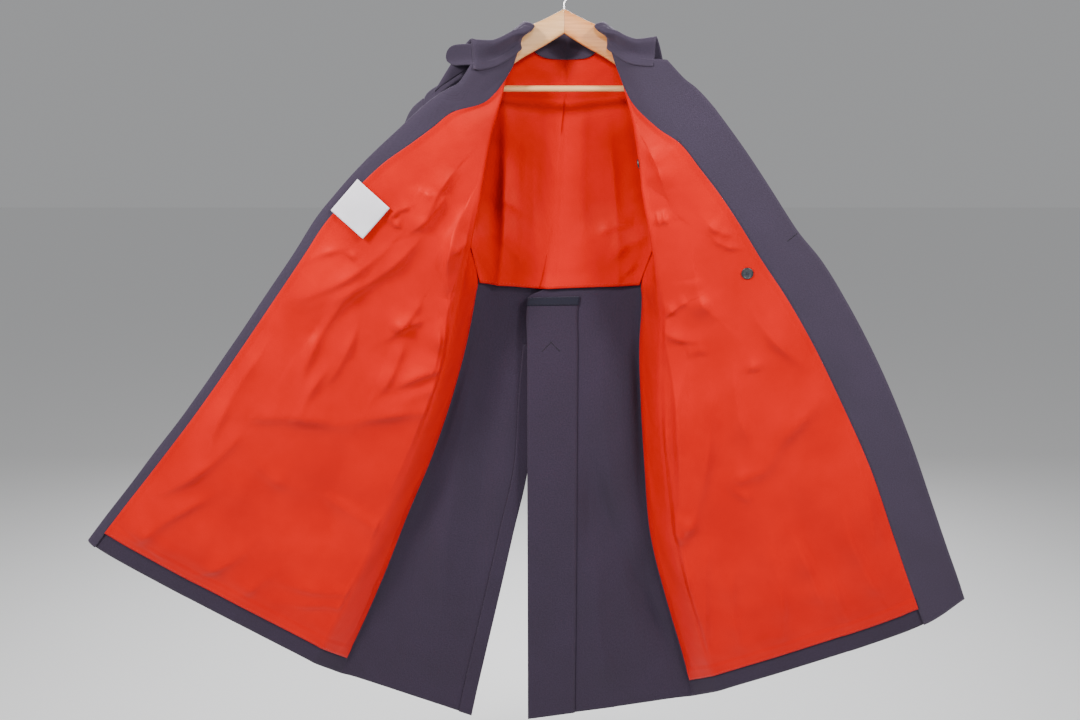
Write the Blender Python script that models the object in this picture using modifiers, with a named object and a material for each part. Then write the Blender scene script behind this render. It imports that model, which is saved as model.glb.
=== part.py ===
"""Greatcoat hanging open on a wooden hanger.

Metres, +X to the wearer's left, +Y away from the viewer, +Z up.
The origin is the inside of the hook's crown.
"""
import math

import bmesh
import bpy
import numpy as np

OBJECT_NAME = "greatcoat"
SIGN = {"right": -1.0, "left": 1.0}

# Cloth and seams
WOOL = 0.0024
FACING = 0.0020
LINING = 0.0010
LABEL = 0.0006
SEAM_GAP = 0.0003
LINING_TRIM = 0.0050
LINING_NECK_TRIM = 0.0040
LINING_ARMHOLE_SHARE = 1.0
SAME_POINT = 0.000001
LINING_SEAM_TRIM = 0.0004
LINING_GAP = 0.0012
SLEEVE_LINING_GAP = 0.0008
FACING_NECK_TRIM = 0.0020
PLEAT_RISE = 0.0030

# Roughness of each stuff
WOOL_ROUGHNESS = 0.9
LINING_ROUGHNESS = 0.45
TAPE_ROUGHNESS = 0.7
LABEL_ROUGHNESS = 0.6
BUTTON_ROUGHNESS = 0.35
WOOD_ROUGHNESS = 0.45
STEEL_ROUGHNESS = 0.3

# The skirts fan out round a point at the back of the neck
FAN_Z = -0.140

# Colours (linear)
WOOL_GREY = (0.085, 0.068, 0.105, 1.0)
SCARLET = (0.78, 0.035, 0.022, 1.0)
NAVY = (0.022, 0.022, 0.060, 1.0)
WHITE = (0.80, 0.79, 0.85, 1.0)
BLACK = (0.012, 0.012, 0.014, 1.0)
BEECH_PALE = (0.82, 0.55, 0.30, 1.0)
BEECH_WARM = (0.78, 0.42, 0.18, 1.0)
STEEL = (0.55, 0.55, 0.56, 1.0)

# Rows of the panels run from the neck to the hem; these rows are named
SHOULDER_TIP_ROW = 4
UNDERARM_ROW = 7
WAIST_ROW = 8
TAPE_ROWS = (9, 10)
LINING_HEM_ROW = 17

# Columns of a front, from the side to its edge, and the steps between its keys
CREASE_COLUMN = 4
SEAM_COLUMN = 9
SIDE_TO_SEAM_STEPS = [1, 2, 1, 1, 4]
EDGE_STEPS = 3
EDGE_STEPS_TURNED = 2
TURN_STEPS = [3, 1]

# Columns of a back, from its centre edge to the side
STRIP_STEPS = 2
BACK_STEPS = [STRIP_STEPS, 4, 1]

# The panels beside the shoulder seam (inwards, y, z), the crease and the rolled front edge
FRONT_ROUND = (0.003, -0.014, -0.007)
BACK_ROUND = (0.003, 0.018, -0.008)
FRONT_TIP = (0.012, -0.017, -0.012)
BACK_TIP = (0.012, 0.018, -0.012)
FRONT_SHOULDER_SHARE = 0.30
BACK_SHOULDER_SHARE = 0.88
BACK_SHOULDER_DEPTH = 0.70
WIDEST_STRIP_SHARE = 0.60
ARMHOLE_DROP = 0.22
CREASE_ROUND = 0.012
CREASE_EASE = 0.20
TURN_DEPTH = 0.020
TURN_FULL_WIDTH = 0.020
SHALLOWEST_TURN = 0.60
TURN_START = 0.25

# Shoulder seam, armhole and underarm, wearer's left; the right is its mirror
SEAM_COLUMNS = ("x", "front_y", "back_y", "z")
UPPER_SEAM = (
    (0.072, 0.000, 0.000, -0.096),
    (0.105, 0.000, 0.000, -0.120),
    (0.146, 0.000, 0.000, -0.148),
    (0.186, 0.000, 0.000, -0.176),
    (0.226, 0.000, 0.000, -0.205),
    (0.212, -0.030, 0.046, -0.262),
    (0.186, -0.032, 0.058, -0.370),
    (0.165, 0.032, 0.032, -0.430),
)

# Side seams below the underarm, as a fan: distance, angle and depth
SIDE_COLUMNS = ("r", "phi", "y")
SIDE_SEAM = {
    "right": (
        (0.400, 21.5, 0.054), (0.418, 21.0, 0.056), (0.434, 20.6, 0.058), (0.500, 19.4, 0.064),
        (0.600, 18.7, 0.070), (0.720, 18.7, 0.070), (0.850, 19.3, 0.069), (0.980, 19.6, 0.068),
        (1.085, 20.0, 0.067), (1.150, 20.3, 0.066), (1.184, 20.4, 0.066),
    ),
    "left": (
        (0.400, 20.0, 0.054), (0.418, 19.3, 0.056), (0.434, 18.6, 0.058), (0.500, 15.8, 0.064),
        (0.600, 13.6, 0.072), (0.720, 12.0, 0.073), (0.850, 11.0, 0.073), (0.980, 11.4, 0.072),
        (1.085, 11.9, 0.070), (1.150, 12.1, 0.069), (1.184, 12.2, 0.069),
    ),
}

# Each front from its inner crease to its edge; fan distances, angles in degrees and depths.
# turn_back is the width of facing that rolls behind the outline.
FRONT_COLUMNS = (
    "r_crease", "phi_crease", "y_crease", "r_seam", "phi_seam", "y_seam",
    "r_edge", "phi_edge", "y_edge", "turn_back",
)
FRONT = {
    "right": (
        (0.076, 103.7, -0.028, 0.111, 86.0, -0.054, 0.1434, 83.0, -0.070, 0.012),
        (0.090, 73.8, -0.037, 0.136, 71.5, -0.064, 0.170, 73.4, -0.078, 0.013),
        (0.125, 54.0, -0.047, 0.168, 65.0, -0.075, 0.190, 71.6, -0.085, 0.015),
        (0.170, 43.5, -0.055, 0.200, 62.2, -0.085, 0.212, 70.0, -0.090, 0.019),
        (0.225, 35.2, -0.059, 0.236, 60.6, -0.093, 0.240, 67.8, -0.094, 0.026),
        (0.275, 30.5, -0.060, 0.275, 59.6, -0.098, 0.275, 65.2, -0.097, 0.036),
        (0.330, 27.4, -0.054, 0.330, 58.9, -0.098, 0.330, 62.2, -0.096, 0.046),
        (0.385, 25.4, -0.040, 0.385, 57.4, -0.094, 0.385, 59.8, -0.092, 0.056),
        (0.430, 24.2, -0.026, 0.430, 56.2, -0.088, 0.430, 58.0, -0.085, 0.062),
        (0.446, 23.9, -0.022, 0.446, 55.7, -0.086, 0.446, 57.4, -0.083, 0.064),
        (0.462, 23.6, -0.018, 0.462, 55.2, -0.083, 0.462, 56.8, -0.080, 0.066),
        (0.520, 22.4, -0.006, 0.520, 53.0, -0.075, 0.520, 54.4, -0.072, 0.070),
        (0.610, 21.5, 0.004, 0.610, 50.5, -0.064, 0.610, 51.7, -0.061, 0.072),
        (0.720, 21.4, 0.012, 0.720, 48.3, -0.054, 0.720, 49.3, -0.051, 0.073),
        (0.850, 21.9, 0.018, 0.850, 46.6, -0.044, 0.850, 47.5, -0.041, 0.073),
        (0.980, 22.2, 0.022, 0.980, 45.6, -0.034, 0.980, 46.4, -0.031, 0.073),
        (1.072, 22.6, 0.024, 1.072, 45.1, -0.028, 1.072, 45.8, -0.025, 0.073),
        (1.128, 22.8, 0.025, 1.128, 44.8, -0.024, 1.128, 45.5, -0.021, 0.073),
        (1.162, 22.9, 0.026, 1.162, 44.6, -0.022, 1.162, 45.3, -0.019, 0.073),
    ),
    "left": (
        (0.076, 103.7, -0.028, 0.110, 87.0, -0.054, 0.1607, 85.6, -0.070, 0.0),
        (0.090, 72.5, -0.037, 0.132, 69.0, -0.063, 0.190, 77.6, -0.080, 0.0),
        (0.125, 52.5, -0.048, 0.158, 60.0, -0.072, 0.209, 75.0, -0.085, 0.0),
        (0.170, 41.8, -0.056, 0.190, 54.4, -0.081, 0.227, 72.4, -0.089, 0.0),
        (0.225, 33.0, -0.061, 0.230, 52.0, -0.090, 0.248, 69.4, -0.093, 0.0),
        (0.275, 28.4, -0.062, 0.275, 49.8, -0.096, 0.280, 65.4, -0.096, 0.0),
        (0.330, 25.5, -0.058, 0.330, 47.9, -0.097, 0.330, 60.8, -0.096, 0.0),
        (0.385, 23.5, -0.046, 0.385, 46.1, -0.094, 0.385, 57.0, -0.093, 0.0),
        (0.430, 22.0, -0.034, 0.430, 44.8, -0.089, 0.430, 54.6, -0.088, 0.0),
        (0.446, 21.6, -0.030, 0.446, 44.4, -0.087, 0.446, 53.9, -0.086, 0.0),
        (0.462, 21.1, -0.026, 0.462, 44.1, -0.085, 0.462, 53.3, -0.084, 0.0),
        (0.520, 18.6, -0.012, 0.520, 43.2, -0.078, 0.520, 52.0, -0.077, 0.0),
        (0.610, 16.2, 0.000, 0.610, 41.6, -0.068, 0.610, 49.4, -0.067, 0.0),
        (0.720, 14.6, 0.009, 0.720, 39.6, -0.058, 0.720, 46.4, -0.057, 0.0),
        (0.850, 13.6, 0.016, 0.850, 37.6, -0.047, 0.850, 43.2, -0.046, 0.0),
        (0.980, 13.8, 0.021, 0.980, 35.5, -0.037, 0.980, 40.4, -0.036, 0.0),
        (1.072, 14.2, 0.023, 1.072, 34.3, -0.031, 1.072, 38.8, -0.030, 0.0),
        (1.128, 14.4, 0.025, 1.128, 33.7, -0.027, 1.128, 38.0, -0.026, 0.0),
        (1.162, 14.5, 0.026, 1.162, 33.4, -0.025, 1.162, 37.5, -0.024, 0.0),
    ),
}

# Centre edges of the backs: a seam down to the waist, then the two edges of the vent
CENTRE_COLUMNS = ("z", "right_x", "right_y", "left_x", "left_y")
CENTRE_BACK = (
    (-0.137, 0.008, 0.045, 0.008, 0.045),
    (-0.160, 0.006, 0.047, 0.006, 0.047),
    (-0.186, 0.004, 0.049, 0.004, 0.049),
    (-0.214, 0.001, 0.051, 0.001, 0.051),
    (-0.244, -0.002, 0.053, -0.002, 0.053),
    (-0.306, -0.008, 0.056, -0.008, 0.056),
    (-0.378, -0.016, 0.059, -0.016, 0.059),
    (-0.452, -0.024, 0.061, -0.024, 0.061),
    (-0.524, -0.031, 0.072, -0.031, 0.062),
    (-0.540, -0.033, 0.078, -0.060, 0.062),
    (-0.554, -0.035, 0.080, -0.062, 0.062),
    (-0.630, -0.044, 0.084, -0.062, 0.062),
    (-0.736, -0.053, 0.086, -0.062, 0.063),
    (-0.856, -0.061, 0.088, -0.062, 0.064),
    (-0.984, -0.089, 0.088, -0.062, 0.066),
    (-1.110, -0.117, 0.087, -0.062, 0.068),
    (-1.232, -0.145, 0.086, -0.062, 0.070),
    (-1.312, -0.163, 0.085, -0.062, 0.071),
    (-1.345, -0.170, 0.084, -0.062, 0.071),
)
VENT_STRIP_LEFT = 0.090
VENT_STRIP_RIGHT = 0.026
# How far the curve of the back neck dips below a straight line, at the first rows
NECK_DIPS = (0.020, 0.010, 0.004)

# Sleeves, wearer's left: outer and inner line of each ring, and its depth
SLEEVE_COLUMNS = ("x_out", "z_out", "x_in", "z_in", "y_front", "y_back")
SLEEVE = (
    (0.250, -0.222, 0.186, -0.458, -0.028, 0.064),
    (0.268, -0.262, 0.191, -0.478, -0.018, 0.070),
    (0.282, -0.336, 0.195, -0.508, -0.004, 0.074),
    (0.298, -0.440, 0.197, -0.550, 0.008, 0.078),
    (0.318, -0.545, 0.204, -0.620, 0.018, 0.082),
    (0.344, -0.650, 0.230, -0.700, 0.026, 0.085),
    (0.374, -0.745, 0.258, -0.775, 0.032, 0.088),
    (0.404, -0.830, 0.284, -0.845, 0.036, 0.090),
)
ARMHOLE_TURNS = (0.0, 60.0, 125.0, 180.0)
ARMHOLE_STEP = 0.0048
SLEEVE_TRIM = 0.0006
SLEEVE_AROUND = 17
LINED_SLEEVE = "right"

# Collar: how far it rises and leans from stations of the neck seam, then its fall
COLLAR_COLUMNS = ("station", "rise", "lean_x", "lean_y", "out_x", "out_y", "fall_back", "fall_drop")
COLLAR = (
    ("centre", 0.046, 0.000, 0.010, 0.00, 1.00, 0.014, 0.048),
    ("nape", 0.036, 0.004, 0.008, 0.30, 0.95, 0.014, 0.040),
    ("back_shoulder", 0.010, 0.002, 0.002, 0.80, 0.60, 0.018, 0.014),
    ("border", 0.005, 0.000, -0.004, 0.95, 0.30, 0.020, 0.008),
    ("front_shoulder", 0.007, -0.002, -0.012, 0.95, 0.20, 0.020, 0.009),
    ("crease", 0.012, 0.000, -0.012, 0.80, 0.30, 0.016, 0.010),
    ("gorge", 0.018, 0.000, -0.010, 0.30, 0.95, 0.014, 0.013),
    ("edge", 0.034, 0.002, -0.006, 0.20, 0.98, 0.016, 0.032),
)

COLLAR_STATIONS = {
    "centre": 0, "nape": 3, "back_shoulder": 6, "border": 7, "front_shoulder": 8, "crease": 11, "gorge": 16,
    "edge": 19,
}
COLLAR_STEPS = [1, 2, 1, 1, 2]
COLLAR_FOOT_GAP = 0.0012
COLLAR_STAND = 0.0030
CROWN_OUT = 0.5
CROWN_RISE = 0.004
BEHIND_DROP = 0.003
FALL_OUT = 1.4
COLLAR_LEAVING = 1
COLLAR_TOP = 3

# Throat tab, as shares of the collar's stand where it spans
TAB_GAP = 0.0006
TAB_LENGTH = 0.056
TAB_ROUND = 0.55
TAB_SPAN = (0.04, 0.96)
TAB_LEAST_END = 0.02
TAB_ROWS = 8
TAB_COLUMNS = 4

# Label, centred at x and z on the right front
LABEL_HALF = 0.033
LABEL_CENTRE = (-0.322, -0.382)
LABEL_TURN = 47.0
LABEL_LIFT = 0.0054
LABEL_POINTS = 4

# Buttons: diameters, places, and a profile in diameters from the back's centre to the front's
INNER_BUTTON = 0.0195
OUTER_BUTTON = 0.0250
BUTTON_COLUMNS = ("radius", "height")
BUTTON_PROFILE = (
    (0.0, 0.0), (0.40, 0.0), (0.50, 0.07), (0.50, 0.13), (0.42, 0.17), (0.32, 0.12), (0.0, 0.11),
)
BUTTON_SIDES = 12
UPPER_BUTTON_CELL = (3.8, 3.5)
LOWER_BUTTON = (0.2945, -0.4835)
OUTER_BUTTON_PLACES = ("row", "lift")
OUTER_BUTTONS = ((6.5, 0.0001), (8.5, 0.0009), (11.5, 0.0009), (12.5, 0.0009))
OUTER_BUTTON_COLUMN = 7.5
BUTTON_LIFT = 0.0003
CREASE_BUTTON_LIFT = 0.0011

# Hanger
ARM_COLUMNS = ("x", "top", "bottom", "half_depth")
HANGER_ARM = (
    (0.0002, -0.0650, -0.1030, 0.0070),
    (0.0300, -0.0800, -0.1210, 0.0070),
    (0.0700, -0.0980, -0.1430, 0.0066),
    (0.1300, -0.1392, -0.1840, 0.0062),
    (0.1750, -0.1728, -0.2070, 0.0054),
    (0.2080, -0.2000, -0.2220, 0.0036),
)
HANGER_Y = 0.0
BAR_Z = -0.1896
BAR_RADIUS = 0.0050
BAR_HALF = 0.1305
HOOK_WIRE = 0.0016
HOOK_RADIUS = 0.0216
ARM_BEVEL = 0.35
BAR_SIDES = 16
HOOK_NECK = ((0.0, -0.0560), (0.006, -0.0480))
HOOK_START = -50.0
HOOK_TURN = 250.0
HOOK_STEPS = 14


def clear_scene():
    """Removes whatever the scene holds."""
    for item in list(bpy.data.objects):
        bpy.data.objects.remove(item, do_unlink=True)


def make_material(name, colour, roughness, metallic=0.0):
    """A plain Principled material."""
    material = bpy.data.materials.new(name)
    material.use_nodes = True
    shader = material.node_tree.nodes["Principled BSDF"]
    shader.inputs["Base Color"].default_value = colour
    shader.inputs["Roughness"].default_value = roughness
    shader.inputs["Metallic"].default_value = metallic
    return material


def add_object(name, mesh, colour, roughness, metallic=0.0):
    """Links a mesh as a named sub-part with a material of its own."""
    item = bpy.data.objects.new(name, mesh)
    item.data.materials.append(make_material(name, colour, roughness, metallic))
    PARTS.objects.link(item)
    return item


def fan(side, r, phi, y):
    """A point of the fanned skirt, phi degrees from straight down."""
    angle = math.radians(phi)
    return np.array((SIGN[side] * r * math.sin(angle), y, FAN_Z - r * math.cos(angle)))


def smooth_curve(keys, steps):
    """Points of a smooth curve through the keys, with steps[i] intervals after key i."""
    keys = np.asarray(keys, dtype=float)
    chords = np.linalg.norm(np.diff(keys, axis=0), axis=1)
    knots = np.concatenate(([0.0], np.cumsum(np.sqrt(np.maximum(chords, 1e-6)))))
    slopes = np.gradient(keys, knots, axis=0)
    points = []
    for i, count in enumerate(steps):
        span = knots[i + 1] - knots[i]
        for k in range(count):
            t = k / count
            points.append(hermite(keys[i], keys[i + 1], slopes[i] * span, slopes[i + 1] * span, t))
    points.append(keys[-1])
    return np.array(points)


def hermite(start, end, start_slope, end_slope, t):
    """Cubic Hermite blend."""
    a = 2 * t**3 - 3 * t**2 + 1
    b = t**3 - 2 * t**2 + t
    c = -2 * t**3 + 3 * t**2
    d = t**3 - t**2
    return a * start + b * start_slope + c * end + d * end_slope


def grid_normals(grid):
    """Unit normals at a grid's points, from the corners of the triangles that meet there."""
    normals = np.zeros_like(grid)
    rows, columns = grid.shape[:2]
    for i in range(rows - 1):
        for j in range(columns - 1):
            for triangle in cell_triangles(i, j):
                add_corner_normals(grid, normals, triangle)
    return unit(normals)


def cell_triangles(i, j):
    """The two triangles of a grid's cell."""
    return ((i, j), (i + 1, j), (i + 1, j + 1)), ((i, j), (i + 1, j + 1), (i, j + 1))


def add_corner_normals(grid, normals, triangle):
    """Adds a triangle's normal at its corners, weighted by their angles."""
    a, b, c = (grid[corner] for corner in triangle)
    normal = unit(np.cross(b - a, c - a))
    for corner, (here, one, two) in zip(triangle, ((a, b, c), (b, c, a), (c, a, b))):
        cosine = np.dot(unit(one - here), unit(two - here))
        normals[corner] += normal * math.acos(float(np.clip(cosine, -1.0, 1.0)))


def trim(grid, first_row=0.0, last_row=0.0, first_column=0.0, last_column=0.0):
    """Moves the borders of a grid inwards by the given widths."""
    grid = grid.copy()
    grid[0] += unit(grid[1] - grid[0]) * first_row
    grid[-1] += unit(grid[-2] - grid[-1]) * last_row
    grid[:, 0] += unit(grid[:, 1] - grid[:, 0]) * first_column
    grid[:, -1] += unit(grid[:, -2] - grid[:, -1]) * last_column
    return grid


def unit(vectors):
    """Vectors scaled to length one."""
    return vectors / np.linalg.norm(vectors, axis=-1, keepdims=True)


def surface_mesh(name, grid):
    """An open surface of triangles through a grid of points."""
    shape = bmesh.new()
    rows, columns = grid.shape[:2]
    points = [[shape.verts.new(grid[i, j]) for j in range(columns)] for i in range(rows)]
    for i in range(rows - 1):
        for j in range(columns - 1):
            for triangle in cell_triangles(i, j):
                shape.faces.new([points[a][b] for a, b in triangle])
    bmesh.ops.remove_doubles(shape, verts=shape.verts, dist=SAME_POINT)
    mesh = bpy.data.meshes.new(name)
    shape.to_mesh(mesh)
    shape.free()
    mesh.shade_smooth()
    return mesh


def cloth(name, grid, thickness, colour, roughness):
    """A cloth wall of even thickness about a grid of points."""
    item = add_object(name, surface_mesh(name, grid), colour, roughness)
    wall = item.modifiers.new("wall", "SOLIDIFY")
    wall.thickness = thickness
    wall.offset = 0.0
    return item


def layer(panel, rows, columns, distance):
    """Part of a panel's points moved off it towards the lining side."""
    grid, normals = panel
    return grid[rows, columns] + normals[rows, columns] * distance


def front_side_points(side):
    """The front's outer border: shoulder seam, armhole, then side seam."""
    upper = [np.array((SIGN[side] * x, front_y, z)) for x, front_y, back_y, z in UPPER_SEAM]
    return upper + [fan(side, r, phi, y) for r, phi, y in SIDE_SEAM[side]]


def back_side_points(side):
    """The back's outer border: shoulder seam, armhole, then side seam."""
    upper = [np.array((SIGN[side] * x, back_y, z)) for x, front_y, back_y, z in UPPER_SEAM]
    return upper + [fan(side, r, phi, y) for r, phi, y in SIDE_SEAM[side]]


def shoulder_round(side, row, border, general, tip):
    """Key just off the shoulder seam, over the hanger's arm."""
    inwards, y, z = tip if row == SHOULDER_TIP_ROW else general
    return border + np.array((-SIGN[side] * inwards, y, z))


def front_panel(side):
    """Grid of a front and its normals, from the side to the front edge."""
    rows = []
    for index, (border, row) in enumerate(zip(front_side_points(side), FRONT[side])):
        crease = fan(side, *row[0:3])
        seam = fan(side, *row[3:6])
        edge = fan(side, *row[6:9])
        turn_back = row[9]
        shoulder = border + (crease - border) * FRONT_SHOULDER_SHARE
        if index <= SHOULDER_TIP_ROW:
            shoulder = shoulder_round(side, index, border, FRONT_ROUND, FRONT_TIP)
        elif index < UNDERARM_ROW:
            shoulder[2] = border[2] + (crease[2] - border[2]) * ARMHOLE_DROP
        to_shoulder = unit(shoulder - crease) * CREASE_ROUND
        to_seam = unit(seam - crease) * CREASE_ROUND
        apex = crease + (to_shoulder + to_seam) * CREASE_EASE
        keys = [border, shoulder, crease + to_shoulder, apex, crease + to_seam, seam, edge]
        steps = SIDE_TO_SEAM_STEPS + [EDGE_STEPS]
        if turn_back:
            inwards = unit(crease - seam)
            depth = TURN_DEPTH * np.clip(turn_back / TURN_FULL_WIDTH, SHALLOWEST_TURN, 1.0)
            behind = np.array((0.0, depth, 0.0))
            keys.append(edge + inwards * TURN_START * turn_back + behind)
            keys.append(edge + inwards * turn_back + behind)
            steps = SIDE_TO_SEAM_STEPS + [EDGE_STEPS_TURNED] + TURN_STEPS
        rows.append(smooth_curve(keys, steps))
    grid = np.array(rows)
    return grid, grid_normals(grid) * SIGN[side]


def back_panel(side):
    """Grid of a back and its normals; columns run towards +X."""
    rows = []
    for index, (border, row) in enumerate(zip(back_side_points(side), CENTRE_BACK)):
        z, right_x, right_y, left_x, left_y = row
        if side == "right":
            centre = np.array((right_x, right_y, z))
            strip = VENT_STRIP_RIGHT
        else:
            centre = np.array((left_x, left_y, z))
            strip = VENT_STRIP_LEFT
        shoulder = centre + (border - centre) * BACK_SHOULDER_SHARE
        shoulder[1] = centre[1] + (border[1] - centre[1]) * BACK_SHOULDER_DEPTH
        if index <= SHOULDER_TIP_ROW:
            shoulder = shoulder_round(side, index, border, BACK_ROUND, BACK_TIP)
        widest = WIDEST_STRIP_SHARE * np.linalg.norm(shoulder - centre)
        dipped = index < len(NECK_DIPS)
        strip_edge = centre + unit(shoulder - centre) * (widest if dipped else min(strip, widest))
        if dipped:
            strip_edge[2] -= NECK_DIPS[index]
        points = smooth_curve([centre, strip_edge, shoulder, border], BACK_STEPS)
        rows.append(points[::-1] if side == "right" else points)
    grid = np.array(rows)
    return grid, grid_normals(grid)


def make_front(side, panel):
    """Front, its facing and its lining."""
    every = slice(None)
    shell = trim(layer(panel, every, every, -WOOL / 2), first_column=SEAM_GAP / 2)
    cloth("front_" + side, shell, WOOL, WOOL_GREY, WOOL_ROUGHNESS)
    facing = layer(panel, every, slice(SEAM_COLUMN, None), LINING_GAP + FACING / 2)
    facing = trim(facing, first_row=FACING_NECK_TRIM, first_column=LINING_SEAM_TRIM)
    cloth("facing_" + side, facing, FACING, WOOL_GREY, WOOL_ROUGHNESS)
    lining = layer(panel, slice(0, LINING_HEM_ROW + 1), slice(0, SEAM_COLUMN + 1), LINING_GAP + LINING / 2)
    lining = trim(lining, first_row=LINING_NECK_TRIM, last_column=LINING_SEAM_TRIM)
    lining = trim(lining, first_column=border_trim(lining[:, 0], lining[:, 1]))
    cloth("front_lining_" + side, lining, LINING, SCARLET, LINING_ROUGHNESS)


def border_trim(first, second):
    """How far a lining keeps from the panel's border: a whole column above the underarm."""
    widths = np.linalg.norm(second - first, axis=1) * LINING_ARMHOLE_SHARE
    widths[UNDERARM_ROW + 1:] = LINING_TRIM
    return widths[:, None]


def vent_columns(side):
    """Columns of a back beside its centre edge."""
    return slice(-1 - STRIP_STEPS, None) if side == "right" else slice(0, STRIP_STEPS + 1)


def make_back(side, panel):
    """Back and the facing of its vent edge."""
    every = slice(None)
    shell = layer(panel, every, every, -WOOL / 2)
    shell = trim(shell, first_column=SEAM_GAP / 2, last_column=SEAM_GAP / 2)
    cloth("back_" + side, shell, WOOL, WOOL_GREY, WOOL_ROUGHNESS)
    first = TAPE_ROWS[0] if side == "left" else TAPE_ROWS[1] + 1
    strip = layer(panel, slice(first, None), vent_columns(side), SEAM_GAP + FACING / 2)
    cloth("vent_facing_" + side, strip, FACING, WOOL_GREY, WOOL_ROUGHNESS)


def make_vent_tape(panel):
    """Tape across the top of the vent's facing."""
    rows = slice(TAPE_ROWS[0], TAPE_ROWS[1] + 1)
    tape = layer(panel, rows, vent_columns("left"), 2 * SEAM_GAP + FACING + LINING / 2)
    cloth("vent_tape", tape, LINING, NAVY, TAPE_ROUGHNESS)


def make_back_lining(right, left):
    """Half lining across both backs, with a pleat down its centre."""
    rows = slice(0, WAIST_ROW + 1)
    halves = [layer(panel, rows, slice(None), LINING_GAP + LINING / 2) for panel in (right, left)]
    right_half = halves[0][:, :-1]
    grid = np.concatenate((right_half, halves[1]), axis=1)
    centre = right_half.shape[1]
    grid[:, centre] += left[1][rows, 0] * PLEAT_RISE
    grid = trim(grid, first_row=LINING_NECK_TRIM)
    right_trim = border_trim(grid[:, 0], grid[:, 1])
    left_trim = border_trim(grid[:, -1], grid[:, -2])
    grid = trim(grid, first_column=right_trim, last_column=left_trim)
    cloth("back_lining", grid, LINING, SCARLET, LINING_ROUGHNESS)


def armhole_point(side, angle):
    """Point of the armhole; 0 is the shoulder, -90 the front, 90 the back."""
    stops = np.array(UPPER_SEAM[SHOULDER_TIP_ROW:UNDERARM_ROW + 1])
    depth = SEAM_COLUMNS.index("front_y" if angle <= 0 else "back_y")
    columns = (SEAM_COLUMNS.index("x"), depth, SEAM_COLUMNS.index("z"))
    x, y, z = (np.interp(abs(angle), ARMHOLE_TURNS, stops[:, column]) for column in columns)
    return np.array((SIGN[side] * x, y, z))


def sleeve_ring(side, index, angle):
    """Point of one ring of a sleeve."""
    if index == 0:
        return armhole_point(side, angle) + np.array((SIGN[side] * ARMHOLE_STEP, 0.0, 0.0))
    x_out, z_out, x_in, z_in, y_front, y_back = SLEEVE[index - 1]
    turn = math.radians(angle)
    out = 0.5 + 0.5 * math.cos(turn)
    x = x_in + (x_out - x_in) * out
    z = z_in + (z_out - z_in) * out
    y = 0.5 * (y_front + y_back) + 0.5 * (y_back - y_front) * math.sin(turn)
    return np.array((SIGN[side] * x, y, z))


def sleeve_grid(side):
    """Rings of points once round a sleeve, from the armhole to the cuff."""
    angles = np.linspace(-180.0, 180.0, SLEEVE_AROUND)
    return np.array([[sleeve_ring(side, i, a) for a in angles] for i in range(len(SLEEVE) + 1)])


def make_sleeve(side):
    """Top sleeve, under sleeve and, where the armhole shows it, the sleeve's lining."""
    whole = sleeve_grid(side)
    wrapped = np.concatenate((whole[:, -2:-1], whole, whole[:, 1:2]), axis=1)
    inside = grid_normals(wrapped)[:, 1:-1] * -SIGN[side]
    quarter = (SLEEVE_AROUND - 1) // 4
    top = slice(quarter, 3 * quarter + 1)
    top_grid = whole[:, top] - inside[:, top] * WOOL / 2
    top_grid = trim(top_grid, first_column=SLEEVE_TRIM, last_column=SLEEVE_TRIM)
    cloth("top_sleeve_" + side, top_grid, WOOL, WOOL_GREY, WOOL_ROUGHNESS)
    moved = whole - inside * WOOL / 2
    under_grid = np.concatenate((moved[:, 3 * quarter:], moved[:, 1:quarter + 1]), axis=1)
    under_grid = trim(under_grid, first_column=SLEEVE_TRIM, last_column=SLEEVE_TRIM)
    cloth("under_sleeve_" + side, under_grid, WOOL, WOOL_GREY, WOOL_ROUGHNESS)
    if side != LINED_SLEEVE:
        return
    lining_rows = slice(1, len(SLEEVE))
    lining = (whole + inside * (SLEEVE_LINING_GAP + LINING / 2))[lining_rows]
    lining = trim(lining, first_column=SLEEVE_TRIM, last_column=SLEEVE_TRIM)
    cloth("sleeve_lining_" + side, lining, LINING, SCARLET, LINING_ROUGHNESS)


def neck_line(side, front, back):
    """Points of the neck seam from the centre back to the lapel, and the way up into it."""
    back_grid = back[0] - back[1] * WOOL / 2
    front_grid = front[0] - front[1] * WOOL / 2
    if side == "right":
        back_grid = back_grid[:, ::-1]
    edge_column = SEAM_COLUMN + (EDGE_STEPS_TURNED if side == "right" else EDGE_STEPS)
    points = np.concatenate((back_grid[:2, :-1], front_grid[:2, :edge_column + 1]), axis=1)
    along = unit(np.gradient(points[0], axis=0))
    ways_up = points[0] - points[1]
    ways_up = ways_up - along * np.sum(ways_up * along, axis=1, keepdims=True)
    return points[0], unit(ways_up)


def collar_section(side, point, upwards, shape):
    """Points of the collar across its roll, from the neck seam to the fall's edge."""
    rise, lean_x, lean_y, out_x, out_y, fall_back, fall_drop = shape
    foot = point + upwards * COLLAR_FOOT_GAP
    leaving = foot + upwards * COLLAR_STAND
    top = leaving + np.array((SIGN[side] * lean_x, lean_y, rise))
    out = np.array((SIGN[side] * out_x, out_y, 0.0)) * fall_back
    up = np.array((0.0, 0.0, 1.0))
    crown = top + out * CROWN_OUT + up * CROWN_RISE
    behind = top + out - up * BEHIND_DROP
    edge = top + out * FALL_OUT - up * fall_drop
    return smooth_curve([foot, leaving, top, crown, behind, edge], COLLAR_STEPS)


def collar_half(side, front, back):
    """Sections of one half of the collar, from the centre to its end."""
    points, ways_up = neck_line(side, front, back)
    stations = [COLLAR_STATIONS[row[0]] * (len(points) - 1) / COLLAR_STATIONS["edge"] for row in COLLAR]
    sections = []
    for k, (point, upwards) in enumerate(zip(points, ways_up)):
        shape = [np.interp(k, stations, [row[c] for row in COLLAR]) for c in range(1, len(COLLAR_COLUMNS))]
        sections.append(collar_section(side, point, upwards, shape))
    return sections


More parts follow.
